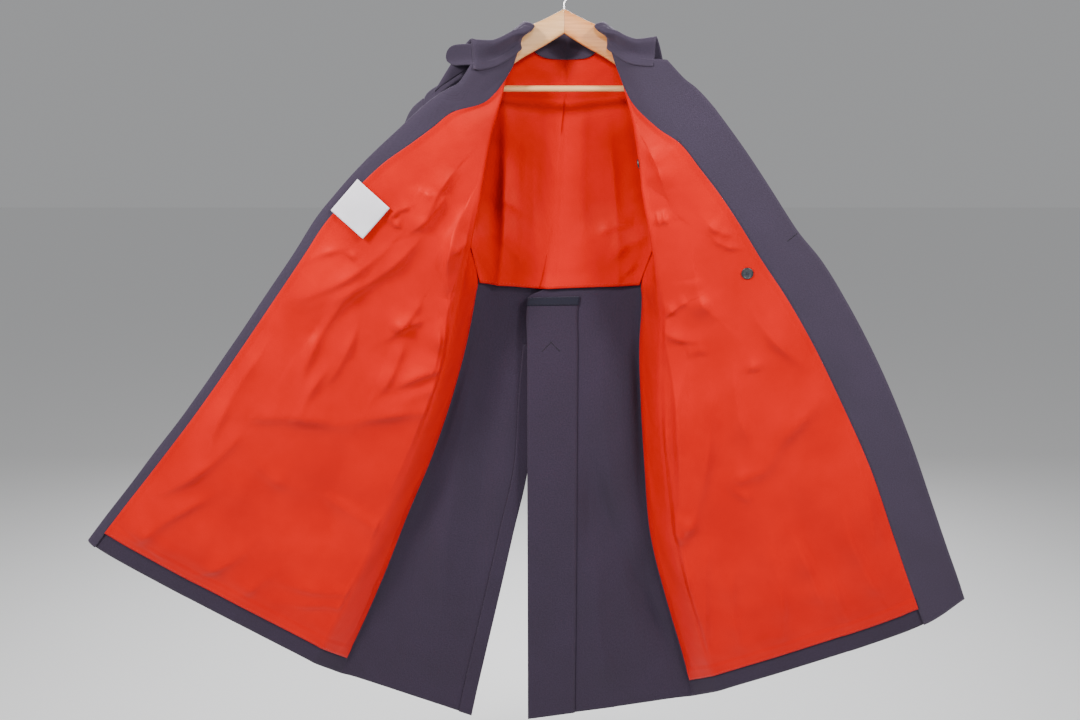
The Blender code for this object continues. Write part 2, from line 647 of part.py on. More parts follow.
def make_collar(fronts, backs):
    """Collar, rolled over from the neck seam."""
    right = collar_half("right", fronts["right"], backs["right"])
    left = collar_half("left", fronts["left"], backs["left"])
    grid = np.array(right[:0:-1] + left)
    cloth("collar", grid, WOOL, WOOL_GREY, WOOL_ROUGHNESS)
    return grid


def make_throat_tab(collar):
    """Tab with a rounded end, sewn to the right end of the collar's stand."""
    stand = collar[0, COLLAR_LEAVING:COLLAR_TOP + 1]
    outward = unit(stand - collar[1, COLLAR_LEAVING:COLLAR_TOP + 1]).mean(axis=0)
    rows = []
    for u in np.linspace(0.0, 1.0, TAB_ROWS):
        past = max(0.0, (u - TAB_ROUND) / (1.0 - TAB_ROUND))
        half = 0.5 * (TAB_SPAN[1] - TAB_SPAN[0]) * math.sqrt(max(TAB_LEAST_END, 1.0 - past**2))
        rows.append([])
        for v in np.linspace(0.5 - half, 0.5 + half, TAB_COLUMNS):
            place = v * (len(stand) - 1)
            base = [np.interp(place, range(len(stand)), stand[:, k]) for k in range(3)]
            rows[-1].append(np.array(base) + outward * (TAB_GAP + u * TAB_LENGTH))
    cloth("throat_tab", np.array(rows), WOOL, WOOL_GREY, WOOL_ROUGHNESS)


def make_label(panel):
    """White square label, set cornerwise beside the facing's seam."""
    turn = math.radians(LABEL_TURN)
    steps = np.linspace(-LABEL_HALF, LABEL_HALF, LABEL_POINTS)
    rows = []
    for a in steps:
        rows.append([])
        for b in steps:
            x = LABEL_CENTRE[0] + a * math.cos(turn) - b * math.sin(turn)
            z = LABEL_CENTRE[1] + a * math.sin(turn) + b * math.cos(turn)
            place, normal = panel_over(panel, x, z)
            rows[-1].append(place + normal * LABEL_LIFT)
    cloth("label", np.array(rows), LABEL, WHITE, LABEL_ROUGHNESS)


def panel_over(panel, x, z):
    """The place and normal of a front where it is seen at x, z."""
    grid, normals = panel
    for i in range(grid.shape[0] - 1):
        for j in range(CREASE_COLUMN + 1, SEAM_COLUMN + 2):
            for triangle in cell_triangles(i, j):
                flat = np.array([[grid[c][0], grid[c][2], 1.0] for c in triangle])
                weights = np.linalg.solve(flat.T, np.array((x, z, 1.0)))
                if weights.min() >= -1e-6:
                    place = sum(w * grid[c] for w, c in zip(weights, triangle))
                    normal = sum(w * normals[c] for w, c in zip(weights, triangle))
                    return place, unit(normal)
    raise ValueError("outside the front")


def turned_button(name, place, normal, diameter):
    """Round button with a raised rim, its back towards the cloth."""
    shape = bmesh.new()
    previous = None
    for radius, height in reversed(BUTTON_PROFILE):
        point = shape.verts.new((radius * diameter, 0.0, height * diameter))
        if previous is not None:
            shape.edges.new((previous, point))
        previous = point
    mesh = bpy.data.meshes.new(name)
    shape.to_mesh(mesh)
    shape.free()
    item = add_object(name, mesh, BLACK, BUTTON_ROUGHNESS)
    turn = item.modifiers.new("turn", "SCREW")
    turn.steps = BUTTON_SIDES
    turn.render_steps = BUTTON_SIDES
    turn.use_merge_vertices = True
    turn.merge_threshold = 0.00005
    item.location = place
    from_up = np.array((0.0, 0.0, 1.0))
    axis = np.cross(from_up, normal)
    angle = math.acos(float(np.clip(np.dot(from_up, normal), -1.0, 1.0)))
    item.rotation_mode = "AXIS_ANGLE"
    item.rotation_axis_angle = (angle, axis[0], axis[1], axis[2])


def panel_point(panel, row, column):
    """A place between the points of a panel, with its normal."""
    grid, normals = panel
    i = int(row)
    j = int(column)
    u = row - i
    v = column - j
    corners = ((i, j), (i + 1, j), (i, j + 1), (i + 1, j + 1))
    weights = ((1 - u) * (1 - v), u * (1 - v), (1 - u) * v, u * v)
    place = sum(grid[corner] * weight for corner, weight in zip(corners, weights))
    normal = sum(normals[corner] * weight for corner, weight in zip(corners, weights))
    return place, unit(normal)


def make_buttons(panels):
    """Inner buttons of the left front and a plain column of buttons outside the right front."""
    lining_top = LINING_GAP + LINING + SEAM_GAP
    place, normal = panel_point(panels["left"], *UPPER_BUTTON_CELL)
    place = place + normal * (lining_top + CREASE_BUTTON_LIFT)
    turned_button("inner_button_upper", place, normal, INNER_BUTTON)
    place, normal = panel_over(panels["left"], *LOWER_BUTTON)
    place = place + normal * (lining_top + BUTTON_LIFT)
    turned_button("inner_button_lower", place, normal, INNER_BUTTON)
    for number, (row, lift) in enumerate(OUTER_BUTTONS, 1):
        place, normal = panel_point(panels["right"], row, OUTER_BUTTON_COLUMN)
        place = place - normal * (WOOL + SEAM_GAP + lift)
        turned_button(f"outer_button_{number}", place, -normal, OUTER_BUTTON)


def make_hanger_arm(side, colour):
    """One shaped wooden arm."""
    rings = []
    for x, top, bottom, half_depth in HANGER_ARM:
        edge = ARM_BEVEL * half_depth
        ring = (
            (-edge, top), (edge, top), (half_depth, top - edge), (half_depth, bottom + edge),
            (edge, bottom), (-edge, bottom), (-half_depth, bottom + edge), (-half_depth, top - edge),
        )
        rings.append([(SIGN[side] * x, HANGER_Y + y, z) for y, z in ring])
    shape = bmesh.new()
    points = [[shape.verts.new(p) for p in ring] for ring in rings]
    for a, b in zip(points, points[1:]):
        for k in range(len(a)):
            shape.faces.new((a[k], a[k - 1], b[k - 1], b[k]))
    shape.faces.new(points[0])
    shape.faces.new(points[-1])
    bmesh.ops.recalc_face_normals(shape, faces=shape.faces)
    mesh = bpy.data.meshes.new("hanger_arm_" + side)
    shape.to_mesh(mesh)
    shape.free()
    add_object("hanger_arm_" + side, mesh, colour, WOOD_ROUGHNESS)


def make_hanger():
    """Two arms, the round bar and the wire hook."""
    make_hanger_arm("right", BEECH_PALE)
    make_hanger_arm("left", BEECH_WARM)
    bpy.ops.mesh.primitive_cylinder_add(
        vertices=BAR_SIDES, radius=BAR_RADIUS, depth=2 * BAR_HALF,
        location=(0.0, HANGER_Y, BAR_Z), rotation=(0.0, math.pi / 2, 0.0))
    bar = bpy.context.object
    bar.name = "hanger_bar"
    bar.data.materials.append(make_material("hanger_bar", BEECH_PALE, WOOD_ROUGHNESS))
    for collection in list(bar.users_collection):
        collection.objects.unlink(bar)
    PARTS.objects.link(bar)
    make_hook()


def make_hook():
    """Wire hook whose crown's inside is the origin."""
    crown_z = HOOK_WIRE - HOOK_RADIUS
    route = [(0.0, HANGER_ARM[0][1] + SEAM_GAP), *HOOK_NECK]
    for k in range(HOOK_STEPS + 1):
        angle = math.radians(HOOK_START + HOOK_TURN * k / HOOK_STEPS)
        route.append((HOOK_RADIUS * math.cos(angle), crown_z + HOOK_RADIUS * math.sin(angle)))
    curve = bpy.data.curves.new("hanger_hook", "CURVE")
    curve.dimensions = "3D"
    curve.bevel_depth = HOOK_WIRE
    curve.bevel_resolution = 2
    curve.use_fill_caps = True
    line = curve.splines.new("POLY")
    line.points.add(len(route) - 1)
    for point, (x, z) in zip(line.points, route):
        point.co = (x, HANGER_Y, z, 1.0)
    add_object("hanger_hook", curve, STEEL, STEEL_ROUGHNESS, 1.0)


clear_scene()
PARTS = bpy.data.collections.new(OBJECT_NAME)
bpy.context.scene.collection.children.link(PARTS)

fronts = {side: front_panel(side) for side in SIGN}
backs = {side: back_panel(side) for side in SIGN}
for side in SIGN:
    make_front(side, fronts[side])
    make_back(side, backs[side])
    make_sleeve(side)
make_back_lining(backs["right"], backs["left"])
make_vent_tape(backs["left"])
make_throat_tab(make_collar(fronts, backs))
make_label(fronts["right"])
make_buttons(fronts)
make_hanger()
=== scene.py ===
"""Greatcoat hanging open on a wooden hanger: its looks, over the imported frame.

Metres, +X to the wearer's left, +Y away from the viewer, +Z up.
"""

import math

import bmesh
import bpy
import numpy as np
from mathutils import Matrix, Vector, noise


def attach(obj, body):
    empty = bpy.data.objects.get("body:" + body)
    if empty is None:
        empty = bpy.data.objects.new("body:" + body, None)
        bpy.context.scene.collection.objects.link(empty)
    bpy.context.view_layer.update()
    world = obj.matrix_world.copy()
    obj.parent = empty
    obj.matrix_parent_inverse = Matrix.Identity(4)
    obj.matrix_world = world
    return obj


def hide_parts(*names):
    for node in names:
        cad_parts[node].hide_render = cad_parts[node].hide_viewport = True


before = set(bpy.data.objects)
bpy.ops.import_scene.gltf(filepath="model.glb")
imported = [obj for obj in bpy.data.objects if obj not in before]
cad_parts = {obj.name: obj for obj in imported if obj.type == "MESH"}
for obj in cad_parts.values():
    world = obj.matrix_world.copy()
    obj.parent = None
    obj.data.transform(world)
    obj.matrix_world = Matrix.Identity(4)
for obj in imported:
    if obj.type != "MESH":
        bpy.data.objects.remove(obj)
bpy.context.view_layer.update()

SIGN = {"right": -1.0, "left": 1.0}
WOOL = 0.0024
FACING = 0.0020
LINING = 0.0008
FAN_Z = -0.140

# The camera, and the picture that it takes
CAMERA_PLACE = (-0.039, -1.72, -0.337)
CAMERA_PITCH = 10.0
CAMERA_LENS = 34.0
PICTURE_WIDTH = 1080.0
PICTURE_HEIGHT = 720.0
PICTURE_FOCUS = 1020.0
SENSOR_WIDTH = 36.0

# Rows of the panels, from the neck to the hem
SHOULDER_TIP_ROW = 4
UNDERARM_ROW = 7
WAIST_ROW = 8
TAPE_ROWS = (9, 10)
LINING_HEM_ROW = 17

# Shoulder seam, armhole and underarm: x, front_y, back_y, z
UPPER_SEAM = (
    (0.072, 0.000, 0.000, -0.096),
    (0.105, 0.000, 0.000, -0.120),
    (0.146, 0.000, 0.000, -0.148),
    (0.186, 0.000, 0.000, -0.176),
    (0.226, 0.000, 0.000, -0.205),
    (0.212, -0.030, 0.046, -0.262),
    (0.186, -0.032, 0.058, -0.370),
    (0.165, 0.032, 0.032, -0.430),
)

# Side seams below the underarm: r, phi, y
SIDE_SEAM = {
    "right": (
        (0.400, 21.5, 0.054), (0.418, 21.0, 0.056), (0.434, 20.6, 0.058), (0.500, 19.4, 0.064),
        (0.600, 18.7, 0.070), (0.720, 18.7, 0.070), (0.850, 19.3, 0.069), (0.980, 19.6, 0.068),
        (1.085, 20.0, 0.067), (1.150, 20.3, 0.066), (1.184, 20.4, 0.066),
    ),
    "left": (
        (0.400, 20.0, 0.054), (0.418, 19.3, 0.056), (0.434, 18.6, 0.058), (0.500, 15.8, 0.064),
        (0.600, 13.6, 0.072), (0.720, 12.0, 0.073), (0.850, 11.0, 0.073), (0.980, 11.4, 0.072),
        (1.085, 11.9, 0.070), (1.150, 12.1, 0.069), (1.184, 12.2, 0.069),
    ),
}

# Fronts: r_crease, phi_crease, y_crease, r_seam, phi_seam, y_seam, r_edge, phi_edge, y_edge, turn_back
FRONT = {
    "right": (
        (0.076, 103.7, -0.028, 0.111, 86.0, -0.054, 0.1434, 83.0, -0.070, 0.012),
        (0.090, 73.8, -0.037, 0.136, 71.5, -0.064, 0.170, 73.4, -0.078, 0.013),
        (0.125, 54.0, -0.047, 0.168, 65.0, -0.075, 0.190, 71.6, -0.085, 0.015),
        (0.170, 43.5, -0.055, 0.200, 62.2, -0.085, 0.212, 70.0, -0.090, 0.019),
        (0.225, 35.2, -0.059, 0.236, 60.6, -0.093, 0.240, 67.8, -0.094, 0.026),
        (0.275, 30.5, -0.060, 0.275, 59.6, -0.098, 0.275, 65.2, -0.097, 0.036),
        (0.330, 27.4, -0.054, 0.330, 58.9, -0.098, 0.330, 62.2, -0.096, 0.046),
        (0.385, 25.4, -0.040, 0.385, 57.4, -0.094, 0.385, 59.8, -0.092, 0.056),
        (0.430, 24.2, -0.026, 0.430, 56.2, -0.088, 0.430, 58.0, -0.085, 0.062),
        (0.446, 23.9, -0.022, 0.446, 55.7, -0.086, 0.446, 57.4, -0.083, 0.064),
        (0.462, 23.6, -0.018, 0.462, 55.2, -0.083, 0.462, 56.8, -0.080, 0.066),
        (0.520, 22.4, -0.006, 0.520, 53.0, -0.075, 0.520, 54.4, -0.072, 0.070),
        (0.610, 21.5, 0.004, 0.610, 50.5, -0.064, 0.610, 51.7, -0.061, 0.072),
        (0.720, 21.4, 0.012, 0.720, 48.3, -0.054, 0.720, 49.3, -0.051, 0.073),
        (0.850, 21.9, 0.018, 0.850, 46.6, -0.044, 0.850, 47.5, -0.041, 0.073),
        (0.980, 22.2, 0.022, 0.980, 45.6, -0.034, 0.980, 46.4, -0.031, 0.073),
        (1.072, 22.6, 0.024, 1.072, 45.1, -0.028, 1.072, 45.8, -0.025, 0.073),
        (1.128, 22.8, 0.025, 1.128, 44.8, -0.024, 1.128, 45.5, -0.021, 0.073),
        (1.162, 22.9, 0.026, 1.162, 44.6, -0.022, 1.162, 45.3, -0.019, 0.073),
    ),
    "left": (
        (0.076, 103.7, -0.028, 0.110, 87.0, -0.054, 0.1607, 85.6, -0.070, 0.0),
        (0.090, 72.5, -0.037, 0.132, 69.0, -0.063, 0.190, 77.6, -0.080, 0.0),
        (0.125, 52.5, -0.048, 0.158, 60.0, -0.072, 0.209, 75.0, -0.085, 0.0),
        (0.170, 41.8, -0.056, 0.190, 54.4, -0.081, 0.227, 72.4, -0.089, 0.0),
        (0.225, 33.0, -0.061, 0.230, 52.0, -0.090, 0.248, 69.4, -0.093, 0.0),
        (0.275, 28.4, -0.062, 0.275, 49.8, -0.096, 0.280, 65.4, -0.096, 0.0),
        (0.330, 25.5, -0.058, 0.330, 47.9, -0.097, 0.330, 60.8, -0.096, 0.0),
        (0.385, 23.5, -0.046, 0.385, 46.1, -0.094, 0.385, 57.0, -0.093, 0.0),
        (0.430, 22.0, -0.034, 0.430, 44.8, -0.089, 0.430, 54.6, -0.088, 0.0),
        (0.446, 21.6, -0.030, 0.446, 44.4, -0.087, 0.446, 53.9, -0.086, 0.0),
        (0.462, 21.1, -0.026, 0.462, 44.1, -0.085, 0.462, 53.3, -0.084, 0.0),
        (0.520, 18.6, -0.012, 0.520, 43.2, -0.078, 0.520, 52.0, -0.077, 0.0),
        (0.610, 16.2, 0.000, 0.610, 41.6, -0.068, 0.610, 49.4, -0.067, 0.0),
        (0.720, 14.6, 0.009, 0.720, 39.6, -0.058, 0.720, 46.4, -0.057, 0.0),
        (0.850, 13.6, 0.016, 0.850, 37.6, -0.047, 0.850, 43.2, -0.046, 0.0),
        (0.980, 13.8, 0.021, 0.980, 35.5, -0.037, 0.980, 40.4, -0.036, 0.0),
        (1.072, 14.2, 0.023, 1.072, 34.3, -0.031, 1.072, 38.8, -0.030, 0.0),
        (1.128, 14.4, 0.025, 1.128, 33.7, -0.027, 1.128, 38.0, -0.026, 0.0),
        (1.162, 14.5, 0.026, 1.162, 33.4, -0.025, 1.162, 37.5, -0.024, 0.0),
    ),
}
# Place along the keys where a front's lining ends and its facing starts, at the first rows
LINING_REACH = {"right": (2.2, 2.7, 4.35), "left": (2.2, 2.7, 4.0, 4.75)}
SEAM_KEY = 5.0

# Centre edges of the backs: z, right_x, right_y, left_x, left_y
CENTRE_BACK = (
    (-0.137, 0.008, 0.045, 0.008, 0.045),
    (-0.160, 0.006, 0.047, 0.006, 0.047),
    (-0.186, 0.004, 0.049, 0.004, 0.049),
    (-0.214, 0.001, 0.051, 0.001, 0.051),
    (-0.244, -0.002, 0.053, -0.002, 0.053),
    (-0.306, -0.008, 0.056, -0.008, 0.056),
    (-0.378, -0.016, 0.059, -0.016, 0.059),
    (-0.452, -0.024, 0.061, -0.024, 0.061),
    (-0.524, -0.031, 0.072, -0.031, 0.062),
    (-0.540, -0.033, 0.078, -0.060, 0.062),
    (-0.554, -0.035, 0.080, -0.062, 0.062),
    (-0.630, -0.044, 0.084, -0.062, 0.062),
    (-0.736, -0.053, 0.086, -0.062, 0.063),
    (-0.856, -0.061, 0.088, -0.062, 0.064),
    (-0.984, -0.089, 0.088, -0.062, 0.066),
    (-1.110, -0.117, 0.087, -0.062, 0.068),
    (-1.232, -0.145, 0.086, -0.062, 0.070),
    (-1.312, -0.163, 0.085, -0.062, 0.071),
    (-1.345, -0.170, 0.084, -0.062, 0.071),
)
VENT_STRIP = {"right": 0.026, "left": 0.090}
WIDEST_STRIP_SHARE = 0.6
# How far the curve of the back neck dips below a straight line, at the first rows
NECK_DIPS = (0.015, 0.008, 0.003)

# Sleeves: x_out, z_out, x_in, z_in, y_front, y_back
SLEEVE = (
    (0.250, -0.222, 0.186, -0.458, -0.028, 0.064),
    (0.268, -0.262, 0.191, -0.478, -0.018, 0.070),
    (0.282, -0.336, 0.195, -0.508, -0.004, 0.074),
    (0.298, -0.440, 0.197, -0.550, 0.008, 0.078),
    (0.318, -0.545, 0.204, -0.620, 0.018, 0.082),
    (0.344, -0.650, 0.230, -0.700, 0.026, 0.085),
    (0.374, -0.745, 0.258, -0.775, 0.032, 0.088),
    (0.404, -0.830, 0.284, -0.845, 0.036, 0.090),
)
ARMHOLE_TURNS = (0.0, 60.0, 125.0, 180.0)
ARMHOLE_STEP = 0.0030

# The panels beside the shoulder seam, the crease and the rolled front edge
FRONT_ROUND = (0.003, -0.014, -0.007)
BACK_ROUND = (0.003, 0.018, -0.008)
FRONT_TIP = (0.012, -0.017, -0.012)
BACK_TIP = (0.012, 0.018, -0.012)
CREASE_ROUND = 0.012
CREASE_EASE = 0.20
ARMHOLE_DROP = 0.22
FRONT_SHOULDER_SHARE = 0.3
BACK_SHOULDER_SHARE = 0.88
BACK_DEPTH_SHARE = 0.7
TURN_DEPTH = 0.020
TURN_FULL = 0.020
TURN_LEAST = 0.6
TURN_FIRST = 0.25
LEAST_CHORD = 1e-6
EDGE_KEY = 6.0
ROW_STEPS = 7
LINING_ROW_STEPS = 15


def unit(vectors):
    """Vectors scaled to length one."""
    return vectors / np.maximum(np.linalg.norm(vectors, axis=-1, keepdims=True), 1e-9)


def fan(side, r, phi, y):
    """A point of the fanned skirt, phi degrees from straight down."""
    angle = math.radians(phi)
    return np.array((SIGN[side] * r * math.sin(angle), y, FAN_Z - r * math.cos(angle)))


def hermite(start, end, start_slope, end_slope, t):
    """Cubic Hermite blend."""
    a = 2 * t**3 - 3 * t**2 + 1
    b = t**3 - 2 * t**2 + t
    return a * start + b * start_slope + (1 - a) * end + (t**3 - t**2) * end_slope


def running(steps):
    """Running sum of steps, from 0."""
    return np.concatenate(([0.0], np.cumsum(steps)))


def between(keys, knots, places):
    """Smooth run through keys that stand at the knots; place 2.5 is half way from key 2 to key 3."""
    slopes = np.gradient(keys, knots, axis=0)
    first = np.clip(np.floor(places).astype(int), 0, len(keys) - 2)
    column = (-1,) + (1,) * (keys.ndim - 1)
    t = (places - first).reshape(column)
    span = (knots[first + 1] - knots[first]).reshape(column)
    return hermite(keys[first], keys[first + 1], slopes[first] * span, slopes[first + 1] * span, t)


def curve_at(keys, places):
    """Points of a smooth curve through the keys."""
    keys = np.asarray(keys, dtype=float)
    chords = np.linalg.norm(np.diff(keys, axis=0), axis=1)
    return between(keys, running(np.sqrt(np.maximum(chords, LEAST_CHORD))), places)


def smooth_rows(grid, steps):
    """A grid with more rows, smooth from row to row."""
    reach = np.linalg.norm(np.diff(grid[..., :3], axis=0), axis=2).mean(axis=1)
    last = len(grid) - 1
    return between(grid, running(reach), np.linspace(0.0, last, last * steps + 1))


def points_at(places, stops, line):
    """Points of a line at the given places, straight from stop to stop."""
    return np.stack([np.interp(places, stops, line[:, k]) for k in range(3)], axis=-1)


def grid_normals(grid):
    """Unit normals of a dense grid."""
    down = np.gradient(grid, axis=0)
    across = np.gradient(grid, axis=1)
    return unit(np.cross(down, across))


def moved_out(grid, lift):
    """A grid moved along its normals, each point by its own lift."""
    return grid + grid_normals(grid) * lift[..., None]


def side_points(side, depth):
    """Outer border of a front or back: shoulder seam, armhole, then side seam."""
    column = 1 if depth == "front" else 2
    upper = [np.array((SIGN[side] * row[0], row[column], row[3])) for row in UPPER_SEAM]
    return upper + [fan(side, *row) for row in SIDE_SEAM[side]]


def shoulder_round(side, row, border, general, tip):
    """Key just off the shoulder seam, over the hanger's arm."""
    inwards, y, z = tip if row == SHOULDER_TIP_ROW else general
    return border + np.array((-SIGN[side] * inwards, y, z))


def front_keys(side):
    """Keys across a front, one list for each row."""
    rows = []
    for index, (border, row) in enumerate(zip(side_points(side, "front"), FRONT[side])):
        crease = fan(side, *row[0:3])
        seam = fan(side, *row[3:6])
        edge = fan(side, *row[6:9])
        turn_back = row[9]
        shoulder = border + (crease - border) * FRONT_SHOULDER_SHARE
        if index <= SHOULDER_TIP_ROW:
            shoulder = shoulder_round(side, index, border, FRONT_ROUND, FRONT_TIP)
        elif index < UNDERARM_ROW:
            shoulder[2] = border[2] + (crease[2] - border[2]) * ARMHOLE_DROP
        to_shoulder = unit(shoulder - crease) * CREASE_ROUND
        to_seam = unit(seam - crease) * CREASE_ROUND
        apex = crease + (to_shoulder + to_seam) * CREASE_EASE
        keys = [border, shoulder, crease + to_shoulder, apex, crease + to_seam, seam, edge]
        if turn_back:
            inwards = unit(crease - seam)
            depth = TURN_DEPTH * np.clip(turn_back / TURN_FULL, TURN_LEAST, 1.0)
            behind = np.array((0.0, depth, 0.0))
            keys.append(edge + inwards * TURN_FIRST * turn_back + behind)
            keys.append(edge + inwards * turn_back + behind)
        rows.append(keys)
    return rows


def back_keys(side):
    """Keys across a back from its centre edge to its side, one list for each row."""
    rows = []
    for index, (border, row) in enumerate(zip(side_points(side, "back"), CENTRE_BACK)):
        x, y = row[1:3] if side == "right" else row[3:5]
        centre = np.array((x, y, row[0]))
        shoulder = centre + (border - centre) * BACK_SHOULDER_SHARE
        shoulder[1] = (1.0 - BACK_DEPTH_SHARE) * centre[1] + BACK_DEPTH_SHARE * border[1]
        if index <= SHOULDER_TIP_ROW:
            shoulder = shoulder_round(side, index, border, BACK_ROUND, BACK_TIP)
        widest = WIDEST_STRIP_SHARE * np.linalg.norm(shoulder - centre)
        dipped = index < len(NECK_DIPS)
        width = widest if dipped else min(VENT_STRIP[side], widest)
        strip = centre + unit(shoulder - centre) * width
        if dipped:
            strip[2] -= NECK_DIPS[index]
        rows.append([centre, strip, shoulder, border])
    return rows


def spread(*spans):
    """Places along keys: each span is (first, last, steps)."""
    runs = [np.linspace(a, b, steps, endpoint=False) for a, b, steps in spans]
    return np.concatenate(runs + [[spans[-1][1]]])


def panel(rows, places, steps, first_row=0, last_row=None):
    """Dense grid of a panel, and each point's place along its row's keys."""
    rows = rows[first_row:last_row]
    if isinstance(places, np.ndarray):
        places = [places] * len(rows)
    lines = [np.column_stack((curve_at(keys, along), along)) for keys, along in zip(rows, places)]
    grid = smooth_rows(np.array(lines), steps)
    return grid[..., :3], grid[..., 3]


def seen(px, py, y):
    """x and z of a place in the picture, at depth y."""
    pitch = math.radians(CAMERA_PITCH)
    right = (px - PICTURE_WIDTH / 2) / PICTURE_FOCUS
    down = (py - PICTURE_HEIGHT / 2) / PICTURE_FOCUS
    along_y = math.cos(pitch) - down * math.sin(pitch)
    along_z = -math.sin(pitch) - down * math.cos(pitch)
    reach = (y - CAMERA_PLACE[1]) / along_y
    return np.array((CAMERA_PLACE[0] + right * reach, CAMERA_PLACE[2] + along_z * reach))


# Folds and creases, drawn where the picture shows them: px0, py0, px1, py1, bow, width, height.
# Each has a gentle side to the left of its way, as the viewer sees it, and a steep side to its right.
FRONT_DEPTH = -0.06
BACK_DEPTH = 0.065
LINE_STEPS = 8
GENTLE = 1.9
STEEP = 0.70
CRISP = 1.3
FAR = 9.0
TAPER_START = 0.04
TAPER_SPAN = 0.92
TAPER_POWER = 0.7
FOLD_UNEVEN = 0.25
FOLD_WAVES = 11.0
FOLD_SHIFT = 2.3
FOLD_GAIN = 1.75
BACK_FOLD_GAIN = 1.7
LINING_FOLDS = {
    "right": (
        (330, 300, 424, 233, -0.06, 0.014, 0.0060),
        (300, 298, 392, 242, -0.05, 0.012, 0.0050),
        (297, 388, 359, 281, 0.06, 0.011, 0.0050),
        (325, 385, 356, 324, -0.04, 0.008, 0.0040),
        (381, 343, 418, 304, -0.05, 0.009, 0.0050),
        (388, 327, 421, 322, -0.05, 0.006, 0.0035),
        (429, 372, 436, 324, -0.04, 0.008, 0.0055),
        (441, 360, 448, 300, 0.05, 0.009, 0.0050),
        (390, 391, 478, 371, 0.08, 0.011, 0.0085),
        (400, 405, 470, 392, 0.06, 0.013, 0.0050),
        (408, 232, 445, 196, -0.05, 0.010, 0.0050),
        (428, 215, 455, 170, 0.06, 0.011, 0.0050),
        (463, 210, 446, 292, -0.08, 0.010, 0.0090),
        (452, 252, 470, 240, 0.05, 0.009, 0.0035),
        (249, 419, 337, 431, 0.05, 0.016, 0.0065),
        (337, 431, 445, 420, 0.06, 0.015, 0.0060),
        (388, 557, 310, 506, -0.05, 0.011, 0.0035),
        (250, 470, 288, 500, -0.05, 0.012, 0.0035),
        (268, 596, 352, 612, -0.05, 0.011, 0.0035),
        (285, 622, 360, 634, 0.05, 0.010, 0.0030),
        (296, 420, 330, 365, 0.06, 0.010, 0.0040),
        (372, 400, 400, 345, -0.06, 0.011, 0.0050),
        (305, 262, 345, 247, 0.05, 0.006, 0.0035),
        (345, 247, 362, 262, 0.05, 0.005, 0.0030),
        (390, 216, 412, 205, 0.05, 0.005, 0.0030),
        (390, 216, 404, 226, -0.05, 0.005, 0.0030),
        (438, 194, 420, 188, 0.05, 0.006, 0.0030),
        (318, 560, 336, 450, 0.10, 0.035, -0.0040),
        (296, 354, 326, 311, 0.00, 0.022, -0.0045),
        (150, 500, 238, 436, -0.06, 0.013, 0.0050),
        (120, 560, 210, 500, 0.05, 0.012, 0.0045),
        (170, 590, 240, 560, -0.06, 0.013, 0.0040),
        (205, 455, 262, 352, 0.05, 0.012, 0.0045),
        (130, 545, 160, 575, 0.05, 0.012, 0.0035),
        (225, 620, 262, 590, 0.05, 0.011, 0.0030),
    ),
    "left": (
        (660, 445, 658, 342, 0.02, 0.009, -0.0045),
        (664, 322, 681, 552, 0.05, 0.013, 0.0060),
        (667, 530, 682, 553, -0.08, 0.011, 0.0045),
        (682, 553, 702, 526, -0.10, 0.011, 0.0055),
        (700, 534, 714, 395, -0.04, 0.013, 0.0055),
        (684, 470, 690, 372, 0.05, 0.011, 0.0030),
        (676, 520, 674, 400, 0.03, 0.008, 0.0025),
        (716, 680, 714, 562, 0.02, 0.009, 0.0040),
        (700, 662, 690, 575, -0.04, 0.010, 0.0035),
        (770, 475, 828, 395, 0.06, 0.016, 0.0060),
        (733, 490, 770, 475, -0.03, 0.008, 0.0050),
        (736, 497, 757, 507, 0.00, 0.006, 0.0035),
        (745, 371, 765, 364, 0.00, 0.006, 0.0035),
        (757, 453, 736, 371, 0.04, 0.009, 0.0040),
        (828, 613, 799, 545, -0.03, 0.010, 0.0050),
        (719, 318, 696, 277, 0.10, 0.013, 0.0065),
        (705, 222, 731, 233, -0.10, 0.008, 0.0035),
        (712, 238, 742, 246, -0.10, 0.007, 0.0030),
        (672, 211, 646, 182, 0.05, 0.014, -0.0040),
        (656, 222, 669, 219, 0.00, 0.006, 0.0035),
        (662, 330, 704, 342, -0.10, 0.008, 0.0040),
        (668, 318, 690, 300, 0.05, 0.007, 0.0035),
        (690, 356, 712, 352, 0.05, 0.006, 0.0030),
        (755, 318, 806, 366, -0.05, 0.011, 0.0035),
        (846, 430, 880, 552, 0.04, 0.012, 0.0050),
        (884, 600, 848, 520, 0.04, 0.011, 0.0045),
        (790, 662, 778, 560, -0.05, 0.011, 0.0040),
        (750, 668, 740, 580, 0.05, 0.010, 0.0035),
        (860, 640, 836, 570, 0.05, 0.011, 0.0040),
        (690, 130, 668, 152, 0.05, 0.009, 0.0030),
        (650, 150, 664, 190, 0.05, 0.010, 0.0035),
    ),
}
FRONT_FOLDS = {
    "right": (
        (250, 470, 420, 140, 0.04, 0.050, 0.0040),
        (330, 610, 350, 440, 0.08, 0.060, -0.0110),
        (180, 590, 250, 480, 0.05, 0.045, 0.0060),
        (400, 520, 440, 380, 0.05, 0.040, 0.0060),
    ),
    "left": (
        (700, 640, 690, 430, 0.03, 0.045, 0.0060),
        (840, 620, 790, 420, 0.05, 0.050, -0.0080),
        (780, 600, 740, 380, 0.04, 0.045, 0.0050),
        (900, 600, 850, 450, 0.04, 0.045, 0.0050),
    ),
}
